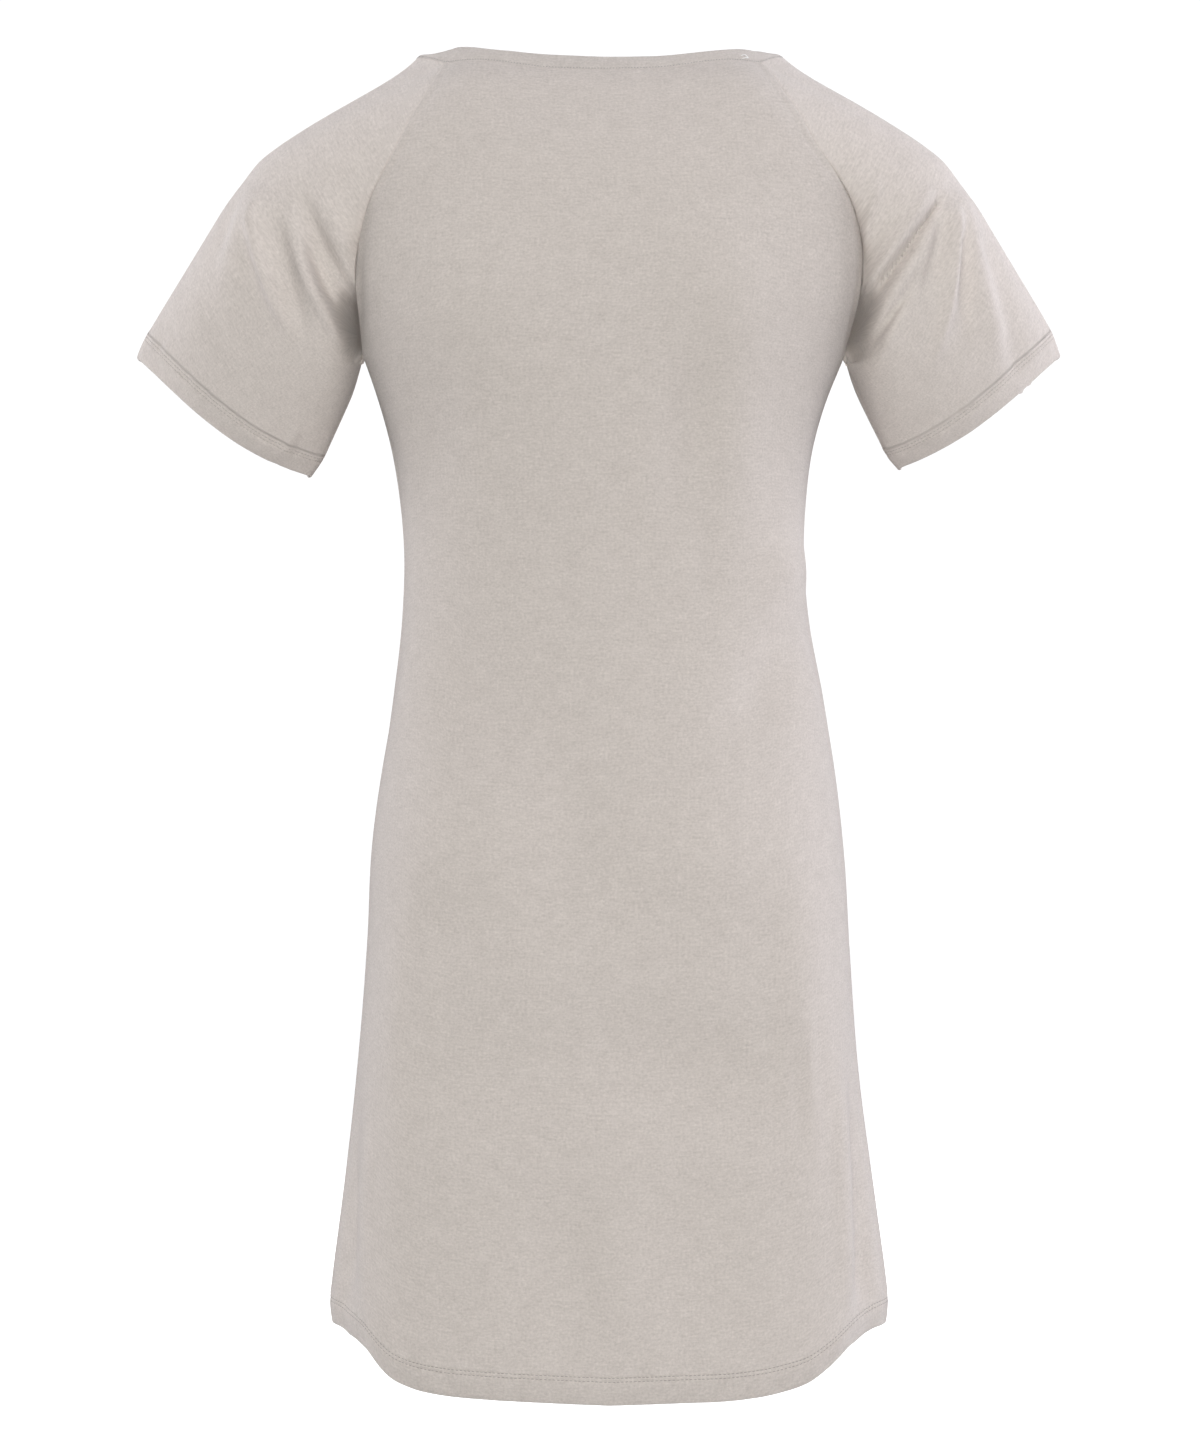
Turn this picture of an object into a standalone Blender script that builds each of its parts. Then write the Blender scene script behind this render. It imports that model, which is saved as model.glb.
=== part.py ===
"""A short raglan dress in cotton jersey, hollow and filled out as if worn.

Metres, +Z up. The front faces -Y, the wearer's left is +X, and the origin lies
midway between the two places where the shoulders carry the dress at the neck.
"Down" is a depth below the origin, and a "turn" is an angle in degrees round the
body, from 0 at the left side seam through 90 at the middle of the back.
"""

from collections import namedtuple

import bpy
import numpy as np

# Cloth and sewing
CLOTH = 0.0015
SEAM_GAP = 0.0003
BODY_HEM = 0.018
CUFF_HEM = 0.016
HEM_CLOTH = 0.0027
HEM_STEP = 0.001
MITRE_LIMIT = 2.4

# Lengths, measured down from the origin
UNDERARM = 0.205
NECK_TOP = 0.0058
BACK_NECK_SIDE = 0.0175
FRONT_NECK_SIDE = 0.031
HEM_SIDE = 0.839
HEM_BACK = 0.8635
HEM_FRONT = 0.860

# Neck binding
BINDING_HEIGHT = 0.0098
BINDING_PROUD = 0.0005
BINDING_WALL = 0.0027
BINDING_UPRIGHT = 1.3
BINDING_EVENING = 8

# How finely the cloth is divided
YOKE_ROWS = 18
SKIRT_ROWS = 19
PANEL_COLUMNS = 24
SHOULDER_COLUMNS = 6
UPPER_SLEEVE_ROWS = 11
LOWER_SLEEVE_ROWS = 8

# The filled-out body: half width, depth to the back and the front, how square its
# section is, and how far it sways to the wearer's left.
BodySection = namedtuple("BodySection", "down half_width back front corner sway")
BODY = (
    BodySection(0.000, 0.1115, 0.024, 0.026, 2.0, 0.0040),
    BodySection(0.004, 0.1170, 0.030, 0.032, 2.0, 0.0040),
    BodySection(0.018, 0.1380, 0.049, 0.048, 2.1, 0.0022),
    BodySection(0.032, 0.1550, 0.065, 0.061, 2.2, 0.0015),
    BodySection(0.055, 0.1730, 0.080, 0.075, 2.3, 0.0015),
    BodySection(0.085, 0.1790, 0.094, 0.091, 2.3, 0.0015),
    BodySection(0.120, 0.1795, 0.102, 0.109, 2.3, 0.0015),
    BodySection(0.165, 0.1745, 0.106, 0.127, 2.3, 0.0015),
    BodySection(0.205, 0.1590, 0.105, 0.135, 2.3, 0.0016),
    BodySection(0.235, 0.1478, 0.102, 0.135, 2.3, 0.0025),
    BodySection(0.265, 0.1395, 0.098, 0.130, 2.3, 0.0026),
    BodySection(0.300, 0.1342, 0.092, 0.123, 2.3, 0.0020),
    BodySection(0.335, 0.1320, 0.087, 0.115, 2.3, 0.0013),
    BodySection(0.380, 0.1345, 0.086, 0.108, 2.3, 0.0002),
    BodySection(0.430, 0.1418, 0.093, 0.106, 2.35, -0.0015),
    BodySection(0.485, 0.1497, 0.106, 0.109, 2.4, -0.0018),
    BodySection(0.540, 0.1556, 0.116, 0.113, 2.4, -0.0014),
    BodySection(0.592, 0.1584, 0.121, 0.117, 2.4, -0.0014),
    BodySection(0.645, 0.1622, 0.124, 0.121, 2.4, -0.0014),
    BodySection(0.700, 0.1680, 0.127, 0.125, 2.4, -0.0014),
    BodySection(0.760, 0.1760, 0.130, 0.130, 2.4, -0.0015),
    BodySection(0.820, 0.1838, 0.134, 0.135, 2.4, -0.0017),
    BodySection(0.880, 0.1895, 0.138, 0.139, 2.4, -0.0018),
)

# The raglan seams, by the share of the way from the neck to the underarm. The dress
# hangs a little unevenly, so the left seam and the right one turn differently.
SeamPoint = namedtuple("SeamPoint", "share down left right")
BACK_RAGLAN = (
    SeamPoint(0.0, BACK_NECK_SIDE, 18.0, 18.0),
    SeamPoint(0.1, 0.0365, 25.4, 24.8),
    SeamPoint(0.2, 0.0560, 27.4, 26.4),
    SeamPoint(0.3, 0.0765, 27.4, 26.0),
    SeamPoint(0.4, 0.0955, 25.6, 22.6),
    SeamPoint(0.5, 0.1145, 22.6, 18.4),
    SeamPoint(0.6, 0.1350, 20.2, 15.0),
    SeamPoint(0.7, 0.1580, 18.0, 13.1),
    SeamPoint(0.8, 0.1790, 15.0, 10.6),
    SeamPoint(0.9, 0.1960, 8.8, 6.2),
    SeamPoint(1.0, UNDERARM, 0.0, 0.0),
)
FRONT_RAGLAN = (
    SeamPoint(0.0, FRONT_NECK_SIDE, 23.0, 23.0),
    SeamPoint(0.1, 0.0475, 25.5, 25.0),
    SeamPoint(0.2, 0.0645, 27.5, 27.0),
    SeamPoint(0.3, 0.0825, 29.0, 28.5),
    SeamPoint(0.4, 0.1005, 29.5, 29.0),
    SeamPoint(0.5, 0.1190, 28.5, 28.0),
    SeamPoint(0.6, 0.1385, 26.5, 26.0),
    SeamPoint(0.7, 0.1595, 23.0, 22.5),
    SeamPoint(0.8, 0.1800, 17.5, 17.0),
    SeamPoint(0.9, 0.1965, 10.0, 9.5),
    SeamPoint(1.0, UNDERARM, 0.0, 0.0),
)

# How far down the neck is cut, by the share of the way from its middle to a raglan
# seam, and how far out its edge is eased at the back so that it is an oval from above.
NeckPoint = namedtuple("NeckPoint", "share back front ease_back ease_front")
NECKLINE = (
    NeckPoint(0.00, 0.0298, 0.1080, 0.0, 0.0),
    NeckPoint(0.25, 0.0296, 0.1025, 0.0, 0.0),
    NeckPoint(0.50, 0.0284, 0.0850, 0.0003, 0.0),
    NeckPoint(0.65, 0.0246, 0.0705, 0.0025, 0.0),
    NeckPoint(0.75, 0.0217, 0.0595, 0.0043, 0.0),
    NeckPoint(0.90, 0.0184, 0.0425, 0.0047, 0.0),
    NeckPoint(1.00, BACK_NECK_SIDE, FRONT_NECK_SIDE, 0.0, 0.0),
)
NECK_EASE_ROWS = 8

# Over each shoulder the neck rises to its highest point in a low arch, and is eased out.
NECK_ARCH = 1.5
SHOULDER_EASE = 0.0020
SHOULDER_EASE_CORNER = 6

# Front and back panels. Side is +1 at the back.
Panel = namedtuple("Panel", "name side neck hem raglan colour")
PANELS = (
    Panel("back_panel", 1, "back", HEM_BACK, BACK_RAGLAN, (0.56, 0.51, 0.475)),
    Panel("front_panel", -1, "front", HEM_FRONT, FRONT_RAGLAN, (0.55, 0.5, 0.465)),
)

# Where the hem starts to lift towards the sides, and where it has lifted, as shares
# of the way from the middle of a panel to its side seam.
HEM_LIFT_FROM = 0.51
HEM_LIFT_TO = 0.70

# The sleeves. Each ring is given by its top and its underarm point, and by half the
# width from front to back. Lean pushes the ring's back half down the arm.
Ring = namedtuple("Ring", "top_x top_down under_x under_down forward half_width lean")
Sleeve = namedtuple("Sleeve", "name sign shoulder cuff colour")
SLEEVES = (
    Sleeve(
        "sleeve_left",
        1,
        Ring(0.2295, 0.074, 0.1705, 0.229, 0.006, 0.062, 0.05),
        Ring(0.3205, 0.199, 0.1975, 0.283, 0.030, 0.041, 0.25),
        (0.57, 0.52, 0.485),
    ),
    Sleeve(
        "sleeve_right",
        -1,
        Ring(0.2235, 0.074, 0.1690, 0.229, 0.006, 0.062, 0.05),
        Ring(0.3105, 0.198, 0.1955, 0.278, 0.030, 0.041, 0.20),
        (0.57, 0.52, 0.485),
    ),
)
# How the sleeve's lines leave the seam, dip beside the neck, bend over the shoulder and
# reach the cuff.
SEAM_PULL = 1.0
SHOULDER_HOLLOW = 0.0036
SHOULDER_PULL = 0.40
SHOULDER_DROP = 0.50
CUFF_DROOP = 0.55
NECK_HALF_ANGLE = 30.0
UNDERARM_SPREAD = 0.8
SMOOTH_SEAM_SHARE = 0.55

# Soft folds pressed into the cloth along lines seen from the back or the front, each
# from one point by a second to a third. Face is +1 at the back. A fold deepens over
# the first share of its length, "opens", and fades over the last one, "closes".
Fold = namedtuple(
    "Fold", "piece face x0 down0 x1 down1 x2 down2 width depth opens closes"
)
FOLDS = (
    Fold("back_panel", 1, 0.154, 0.690, 0.163, 0.780, 0.170, 0.870, 0.012, 0.0120, 0.9, 0),
    Fold("back_panel", 1, -0.160, 0.680, -0.163, 0.780, -0.166, 0.870, 0.011, 0.0120, 0.9, 0),
    Fold("front_panel", -1, 0.150, 0.710, 0.158, 0.790, 0.164, 0.870, 0.012, 0.0100, 0.9, 0),
    Fold("front_panel", -1, -0.152, 0.695, -0.159, 0.790, -0.165, 0.870, 0.012, 0.0110, 0.9, 0),
    Fold("sleeve_left", 1, 0.200, 0.092, 0.184, 0.131, 0.163, 0.170, 0.009, 0.0060, 0.5, 0),
    Fold("sleeve_left", 1, 0.190, 0.164, 0.177, 0.184, 0.164, 0.197, 0.009, 0.0060, 0.5, 0),
    Fold("sleeve_left", 1, 0.222, 0.120, 0.214, 0.164, 0.194, 0.205, 0.012, 0.0035, 0.4, 0.4),
    Fold("sleeve_right", 1, -0.210, 0.108, -0.188, 0.139, -0.167, 0.168, 0.009, 0.0060, 0.5, 0),
    Fold("sleeve_right", 1, -0.221, 0.112, -0.217, 0.152, -0.206, 0.195, 0.011, 0.0035, 0.4, 0.4),
    Fold("sleeve_right", 1, -0.237, 0.150, -0.245, 0.194, -0.259, 0.222, 0.011, 0.0025, 0.4, 0.4),
    Fold("sleeve_left", -1, 0.202, 0.100, 0.185, 0.138, 0.165, 0.174, 0.010, 0.0055, 0.5, 0),
    Fold("sleeve_left", -1, 0.222, 0.125, 0.212, 0.165, 0.196, 0.200, 0.012, 0.0030, 0.4, 0.4),
    Fold("sleeve_right", -1, -0.204, 0.096, -0.187, 0.134, -0.166, 0.172, 0.010, 0.0055, 0.5, 0),
    Fold("sleeve_right", -1, -0.192, 0.160, -0.178, 0.182, -0.166, 0.196, 0.009, 0.0050, 0.5, 0),
)
FOLD_SAMPLES = 24
FOLD_SETBACK = 0.013


def spline(rows, column, at):
    """The value of a table's column at any first-column value, on a smooth curve."""
    x = np.array([row[0] for row in rows])
    y = np.array([getattr(row, column) for row in rows])
    at = np.clip(at, x[0], x[-1])
    slope = np.gradient(y, x)
    i = np.clip(np.searchsorted(x, at) - 1, 0, len(x) - 2)
    step = x[i + 1] - x[i]
    t = (at - x[i]) / step
    return hermite(y[i], slope[i] * step, y[i + 1], slope[i + 1] * step, t)


def hermite(start, leave, end, arrive, t):
    """A cubic from start to end with the given directions at its two ends."""
    return (
        (2 * t**3 - 3 * t**2 + 1) * start
        + (t**3 - 2 * t**2 + t) * leave
        + (3 * t**2 - 2 * t**3) * end
        + (t**3 - t**2) * arrive
    )


def ease(low, high, value):
    """0 below low, 1 above high, and a soft step between."""
    t = np.clip((value - low) / (high - low), 0.0, 1.0)
    return t * t * (3 - 2 * t)


def unit(vectors):
    """Vectors of length 1."""
    return vectors / np.maximum(np.linalg.norm(vectors, axis=-1, keepdims=True), 1e-12)


def body_point(turn, down):
    """Points on the filled-out body at a turn round it and a depth below the neck."""
    cosine, sine = np.cos(np.radians(turn)), np.sin(np.radians(turn))
    width = spline(BODY, "half_width", down)
    depth = np.where(sine >= 0, spline(BODY, "back", down), spline(BODY, "front", down))
    corner = spline(BODY, "corner", down)
    radius = (abs(cosine / width) ** corner + abs(sine / depth) ** corner) ** (-1 / corner)
    x = spline(BODY, "sway", down) + radius * cosine
    return np.stack([x, radius * sine, -down * np.ones_like(x)], axis=-1)


def body_normal(turn, down):
    """The direction out of the filled-out body."""
    nudge_turn, nudge_down = 0.2, 0.0005
    around = body_point(turn + nudge_turn, down) - body_point(turn - nudge_turn, down)
    along = body_point(turn, down + nudge_down) - body_point(turn, down - nudge_down)
    return unit(np.cross(along, around))


def grid_normals(points, closed):
    """The direction out of a grid whose rows run down and whose columns run round."""
    if closed:
        around = np.roll(points, -1, axis=1) - np.roll(points, 1, axis=1)
    else:
        around = np.gradient(points, axis=1)
    return unit(np.cross(around, np.gradient(points, axis=0)))


def pressed(points, normals, piece, *edges):
    """Points with the folds of their piece pressed straight in from the back or the
    front, but held where they lie along the edges given."""
    hold = min_distance(points, edges)
    press = np.zeros(points.shape[:-1])
    t = np.linspace(0.0, 1.0, FOLD_SAMPLES)
    for fold in (f for f in FOLDS if f.piece == piece):
        start, end = np.array([fold.x0, -fold.down0]), np.array([fold.x2, -fold.down2])
        bend = 4 * (np.array([fold.x1, -fold.down1]) - (start + end) / 2)
        line = start + np.outer(t, end - start) + np.outer(t * (1 - t), bend)
        away = np.linalg.norm(points[..., None, ::2] - line, axis=-1)
        nearest = t[away.argmin(axis=-1)]
        fade = ease(0.0, fold.opens, nearest) * ease(1.0 + 1e-9, 1.0 - fold.closes, nearest)
        facing = ease(0.0, 0.5, normals[..., 1] * fold.face)
        depth = fold.depth * np.exp(-((away.min(axis=-1) / fold.width) ** 2))
        press -= depth * fade * facing * fold.face
    press *= ease(0.0, FOLD_SETBACK, hold)
    return points + np.stack([0 * press, press, 0 * press], axis=-1)


def min_distance(points, edges):
    """How far each point of a grid is from the point of the nearest edge beside it."""
    return np.min([np.linalg.norm(points - edge, axis=-1) for edge in edges], axis=0)


def edge_frame(edge, inner_line, outward):
    """The direction along the cloth from an edge towards the inside of its piece."""
    tangent = unit(np.gradient(edge, axis=0))
    inward = inner_line - edge
    for axis in (tangent, outward):
        inward = inward - (inward * axis).sum(-1, keepdims=True) * axis
    return unit(inward)


def mitred(outward, piece_normal, cloth):
    """The way through the cloth at a seam, longer where two pieces meet at an angle."""
    lean = np.clip((outward * piece_normal).sum(-1, keepdims=True), 1 / MITRE_LIMIT, 1.0)
    return -outward * cloth / lean


def raglan_line(panel, side_sign):
    """Turns and depths of a panel's raglan seam, from the neck to the underarm."""
    share = np.linspace(0.0, 1.0, YOKE_ROWS + 1)
    down = spline(panel.raglan, "down", share)
    if side_sign > 0:
        return panel.side * spline(panel.raglan, "left", share), down
    return panel.side * (180 - spline(panel.raglan, "right", share)), down


def panel_rows(panel):
    """Depths of a panel's rows at its middle and at its sides, from neck to hem."""
    _, yoke_side = raglan_line(panel, 1)
    yoke_middle = np.linspace(spline(NECKLINE, panel.neck, 0.0), UNDERARM, YOKE_ROWS + 1)
    hem_top = 1 - (BODY_HEM + HEM_STEP) / (panel.hem - UNDERARM)
    hem_line = 1 - BODY_HEM / (panel.hem - UNDERARM)
    skirt = np.append(np.linspace(0.0, hem_top, SKIRT_ROWS)[1:], [hem_line, 1.0])
    middle = np.append(yoke_middle, UNDERARM + (panel.hem - UNDERARM) * skirt)
    side = np.append(yoke_side, UNDERARM + (HEM_SIDE - UNDERARM) * skirt)
    return middle, side


def panel_surface(panel):
    """The outer points of the front or the back, rows down and columns right to left."""
    middle, side = panel_rows(panel)
    rows = len(middle)
    left, right = np.zeros(rows), np.full(rows, panel.side * 180.0)
    left[: YOKE_ROWS + 1] = raglan_line(panel, 1)[0]
    right[: YOKE_ROWS + 1] = raglan_line(panel, -1)[0]
    across = np.linspace(-1.0, 1.0, PANEL_COLUMNS + 1)
    centre = panel.side * 90
    reach = np.where(across < 0, (right - centre)[:, None], (left - centre)[:, None])
    turn = centre + reach * abs(across)
    yoke = np.arange(rows) <= YOKE_ROWS
    scoop = (middle[0] - spline(NECKLINE, panel.neck, abs(across))) / (middle[0] - side[0])
    rise = ease(HEM_LIFT_FROM, HEM_LIFT_TO, abs(across))
    lift = np.where(yoke[:, None], scoop, rise)
    down = middle[:, None] + (side - middle)[:, None] * lift
    points, normals = body_point(turn, down), body_normal(turn, down)
    fade = ease(NECK_EASE_ROWS, 0, np.arange(rows))
    ease_out = spline(NECKLINE, "ease_" + panel.neck, abs(across))
    points[..., 1] += panel.side * fade[:, None] * ease_out
    return pressed(points, normals, panel.name, points[:, :1], points[:, -1:]), normals


def shoulder_edge(sleeve):
    """The sleeve's short edge at the neck, from the back raglan to the front one."""
    back, front = BACK_RAGLAN[0], FRONT_RAGLAN[0]
    turn = np.linspace(back.left, -front.left, SHOULDER_COLUMNS + 1)
    reach = abs(turn) / np.where(turn > 0, back.left, front.left)
    down = NECK_TOP + (np.where(turn > 0, back.down, front.down) - NECK_TOP) * reach**NECK_ARCH
    turn = turn if sleeve.sign > 0 else 180 - turn
    points = body_point(turn, down)
    points[:, 0] += sleeve.sign * SHOULDER_EASE * (1 - reach**SHOULDER_EASE_CORNER)
    return points, body_normal(turn, down)


def armhole(sleeve):
    """The seam round the top of a sleeve, from the underarm up the back, over the neck
    and down the front, with the body's direction there and each point's angle."""
    points, normals, shares = [], [], []
    for panel in PANELS:
        turn, down = raglan_line(panel, sleeve.sign)
        order = slice(None, None, -1) if panel.side > 0 else slice(None)
        points.append(body_point(turn, down)[order])
        normals.append(body_normal(turn, down)[order])
        shares.append(np.linspace(0.0, 1.0, YOKE_ROWS + 1)[order])
    neck, neck_normal = shoulder_edge(sleeve)
    points = np.concatenate([points[0], neck[1:-1], points[1][:-1]])
    normals = np.concatenate([normals[0], neck_normal[1:-1], normals[1][:-1]])
    share = np.concatenate([shares[0], np.zeros(len(neck) - 2), shares[1][:-1]])
    rise = np.linspace(0.0, 1.0, YOKE_ROWS + 1) ** UNDERARM_SPREAD
    rise = 180.0 + (NECK_HALF_ANGLE - 180.0) * rise
    over = np.linspace(NECK_HALF_ANGLE, -NECK_HALF_ANGLE, SHOULDER_COLUMNS + 1)[1:-1]
    angle = np.concatenate([rise, over, -rise[::-1][:-1]])
    return points, normals, share, angle


def ring_points(ring, sign, angle):
    """Points round a sleeve, by angle from its top towards the back."""
    top = np.array([sign * ring.top_x, -ring.forward, -ring.top_down])
    under = np.array([sign * ring.under_x, -ring.forward, -ring.under_down])
    middle, half = (top + under) / 2, (top - under) / 2
    out_of_cuff = unit(np.array([sign * abs(half[2]), 0.0, -abs(half[0])]))
    cosine, sine = np.cos(np.radians(angle)), np.sin(np.radians(angle))
    to_back = np.array([0.0, 1.0, 0.0]) + np.outer(
        ring.lean * (1 - CUFF_DROOP * cosine), out_of_cuff
    )
    return middle + cosine[:, None] * half + sine[:, None] * ring.half_width * to_back


def sleeve_surface(sleeve):
    """The outer points of a sleeve, rows from the seam to the cuff, columns round it."""
    seam, seam_normal, share, angle = armhole(sleeve)
    shoulder = ring_points(sleeve.shoulder, sleeve.sign, angle)
    cuff = ring_points(sleeve.cuff, sleeve.sign, angle)
    chord = shoulder - seam
    length = np.linalg.norm(chord, axis=-1, keepdims=True)
    flush = chord - (chord * seam_normal).sum(-1, keepdims=True) * seam_normal
    smooth = ease(1.0, SMOOTH_SEAM_SHARE, share)[:, None]
    leave = unit(unit(chord) * (1 - smooth) + unit(flush) * smooth) * length * SEAM_PULL
    arm = cuff - shoulder
    bend = unit(unit(chord) * (1 - SHOULDER_DROP) + unit(arm) * SHOULDER_DROP)
    upper = np.linspace(0.0, 1.0, UPPER_SLEEVE_ROWS + 1)[:-1, None, None]
    long_arm = np.linalg.norm(arm, axis=-1, keepdims=True)
    hem = CUFF_HEM / long_arm.mean()
    lower = np.linspace(0.0, 1 - hem - HEM_STEP / long_arm.mean(), LOWER_SLEEVE_ROWS)
    lower = np.append(lower, [1 - hem, 1.0])[:, None, None]
    upper_rows = hermite(seam, leave, shoulder, bend * length * SHOULDER_PULL, upper)
    on_top = np.clip(np.cos(np.radians(angle)), 0.0, 1.0)[:, None] ** 2
    upper_rows[..., 2:] -= SHOULDER_HOLLOW * on_top * np.sin(np.pi * upper**0.5) ** 2
    lower_rows = hermite(shoulder, bend * long_arm * SHOULDER_PULL, cuff, arm, lower)
    points = np.concatenate([upper_rows, lower_rows])
    normals = grid_normals(points, closed=True) * sleeve.sign
    points = pressed(points, normals, sleeve.name, points[:1])
    return points, grid_normals(points, closed=True) * sleeve.sign


def neck_frame():
    """The line where the binding meets the dress, round from the right raglan seam by
    the back, with the ways out of the binding and up it."""
    line, outward = [], []
    for panel, sleeve in zip(PANELS, SLEEVES):
        surface, out = panel_surface(panel)
        edge, edge_out = shoulder_edge(sleeve)
        line += [surface[0][:: panel.side][:-1], edge[:: panel.side][:-1]]
        outward += [out[0][:: panel.side][:-1], edge_out[:: panel.side][:-1]]
    line, outward = np.concatenate(line), np.concatenate(outward)
    for _ in range(BINDING_EVENING):
        outward = unit(np.roll(outward, 1, axis=0) + 2 * outward + np.roll(outward, -1, axis=0))
    tangent = unit(np.roll(line, -1, axis=0) - np.roll(line, 1, axis=0))
    up = unit(np.cross(tangent, outward))
    up[:, 2] += BINDING_UPRIGHT * np.clip(outward[:, 1], 0.0, 1.0)
    up = unit(up - (up * tangent).sum(-1, keepdims=True) * tangent)
    return line, np.cross(up, tangent), up


def seam_directions():
    """The way out of the cloth that pieces share along their raglan and neck seams."""
    _, neck, _ = neck_frame()
    neck = np.concatenate([neck, neck[:1]])
    shared = {}
    start = 0
    for panel, sleeve in zip(PANELS, SLEEVES):
        corner, end = start + PANEL_COLUMNS, start + PANEL_COLUMNS + SHOULDER_COLUMNS
        shared[panel.name, "neck"] = neck[start : corner + 1][:: panel.side]
        _, normals = sleeve_surface(sleeve)
        _, body, _, _ = armhole(sleeve)
        both = unit(normals[0] + body)
        both[YOKE_ROWS : YOKE_ROWS + SHOULDER_COLUMNS + 1] = neck[corner : end + 1][:: panel.side]
        shared[sleeve.name] = both
        shared["back_panel", sleeve.sign] = both[: YOKE_ROWS + 1][::-1]
        front = np.roll(both, -(YOKE_ROWS + SHOULDER_COLUMNS), axis=0)
        shared["front_panel", sleeve.sign] = front[: YOKE_ROWS + 1]
        start = end
    return shared


def hem_thickness(rows, hem_rows=2):
    """The cloth's thickness row by row, doubled where the hem is turned up inside."""
    cloth = np.full(rows, CLOTH)
    cloth[-hem_rows:] = HEM_CLOTH
    return cloth


def make_panel(panel, shared):
    """The front or the back, with its edges drawn back from the seams."""
    outer, normals = panel_surface(panel)
    outward = grid_normals(outer, closed=False) * panel.side
    cloth = hem_thickness(len(outer))
    inner = outer - outward * cloth[:, None, None]
    for column, neighbour, sign in ((0, 1, -1), (-1, -2, 1)):
        seam_way = normals[:, column].copy()
        seam_way[: YOKE_ROWS + 1] = shared[panel.name, sign]
        inward = edge_frame(outer[:, column], outer[:, neighbour], seam_way)
        through = mitred(seam_way, normals[:, column], cloth[:, None])
        outer[:, column] += inward * SEAM_GAP / 2
        inner[:, column] = outer[:, column] + through
    neck_way = shared[panel.name, "neck"]
    outer[0] += edge_frame(outer[0], outer[1], neck_way) * SEAM_GAP / 2
    inner[0] = outer[0] + mitred(neck_way, normals[0], CLOTH)
    if panel.side > 0:
        outer, inner = outer[:, ::-1], inner[:, ::-1]
    add_object(panel.name, wall_mesh(outer, inner, closed=False), panel.colour)


def make_sleeve(sleeve, shared):
    """A sleeve, with its seam edge drawn back from the body and the neck binding."""
    outer, normals = sleeve_surface(sleeve)
    cloth = hem_thickness(len(outer))
    inner = outer - normals * cloth[:, None, None]
    around = np.roll(outer[0], -1, axis=0) - np.roll(outer[0], 1, axis=0)
    inward = outer[1] - outer[0]
    for axis in (unit(around), shared[sleeve.name]):
        inward = inward - (inward * axis).sum(-1, keepdims=True) * axis
    outer[0] += unit(inward) * SEAM_GAP / 2
    inner[0] = outer[0] + mitred(shared[sleeve.name], normals[0], CLOTH)
    if sleeve.sign > 0:
        outer, inner = outer[:, ::-1], inner[:, ::-1]
    add_object(sleeve.name, wall_mesh(outer, inner, closed=True), sleeve.colour)


def make_binding():
    """The narrow strip of doubled cloth folded over the neck edge."""
    line, outward, up = neck_frame()
    inside = BINDING_PROUD - BINDING_WALL
    profile = (
        (SEAM_GAP / 2, BINDING_PROUD),
        (BINDING_HEIGHT * 0.55, BINDING_PROUD),
        (BINDING_HEIGHT - 0.0007, BINDING_PROUD - 0.0004),
        (BINDING_HEIGHT, (BINDING_PROUD + inside) / 2),
        (BINDING_HEIGHT - 0.0007, inside + 0.0004),
        (BINDING_HEIGHT * 0.55, inside),
        (SEAM_GAP / 2, inside),
    )
    points = np.concatenate([line + up * rise + outward * out for rise, out in profile])
    count, around = len(profile), len(line)
    faces = []
    for i in range(count):
        this, following = i * around, (i + 1) % count * around
        for j in range(around):
            k = (j + 1) % around
            faces += split(points, this + j, following + j, following + k, this + k)
    mesh = bpy.data.meshes.new("neck_binding")
    mesh.from_pydata(points.tolist(), [], faces)
    add_object("neck_binding", mesh, (0.54, 0.49, 0.455))


def split(points, a, b, c, d):
    """The two triangles of a four-cornered face, parted along its shorter diagonal."""
    if np.linalg.norm(points[a] - points[c]) < np.linalg.norm(points[b] - points[d]):
        return (a, b, c), (a, c, d)
    return (a, b, d), (b, c, d)


def wall_mesh(outer, inner, closed):
    """A closed wall between an outer and an inner grid of points."""
    rows, columns = outer.shape[:2]
    points = np.concatenate([outer.reshape(-1, 3), inner.reshape(-1, 3)])
    inside = rows * columns
    spans = [(j, (j + 1) % columns) for j in range(columns if closed else columns - 1)]
    faces = []
    for i in range(rows - 1):
        above, below = i * columns, (i + 1) * columns
        for j, k in spans:
            pair = split(points, above + j, below + j, below + k, above + k)
            faces += pair
            faces += [tuple(corner + inside for corner in face[::-1]) for face in pair]
        if not closed:
            end, end_below = above + columns - 1, below + columns - 1
            faces += split(points, above, above + inside, below + inside, below)
            faces += split(points, end_below, end_below + inside, end + inside, end)
    last = (rows - 1) * columns
    for j, k in spans:
        faces += split(points, k, k + inside, j + inside, j)
        faces += split(points, last + j, last + j + inside, last + k + inside, last + k)
    mesh = bpy.data.meshes.new("cloth")
    mesh.from_pydata(points.tolist(), [], faces)
    return mesh


def add_object(name, mesh, colour):
    """Puts a mesh in the scene under its piece's name, with its cloth material."""
    mesh.name = name
    mesh.validate()
    mesh.shade_smooth()
    mesh.set_sharp_from_angle(angle=np.radians(50))
    material = bpy.data.materials.new(name + "_jersey")
    material.use_nodes = True
    shader = material.node_tree.nodes["Principled BSDF"]
    shader.inputs["Base Color"].default_value = (*colour, 1.0)
    shader.inputs["Roughness"].default_value = 0.9
    shader.inputs["Metallic"].default_value = 0.0
    mesh.materials.append(material)
    piece = bpy.data.objects.new(name, mesh)
    bpy.context.scene.collection.objects.link(piece)


def main():
    """Builds the dress, one object for each piece that is cut and sewn on."""
    for old in list(bpy.data.objects):
        bpy.data.objects.remove(old)
    shared = seam_directions()
    for panel in PANELS:
        make_panel(panel, shared)
    for sleeve in SLEEVES:
        make_sleeve(sleeve, shared)
    make_binding()


main()
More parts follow.
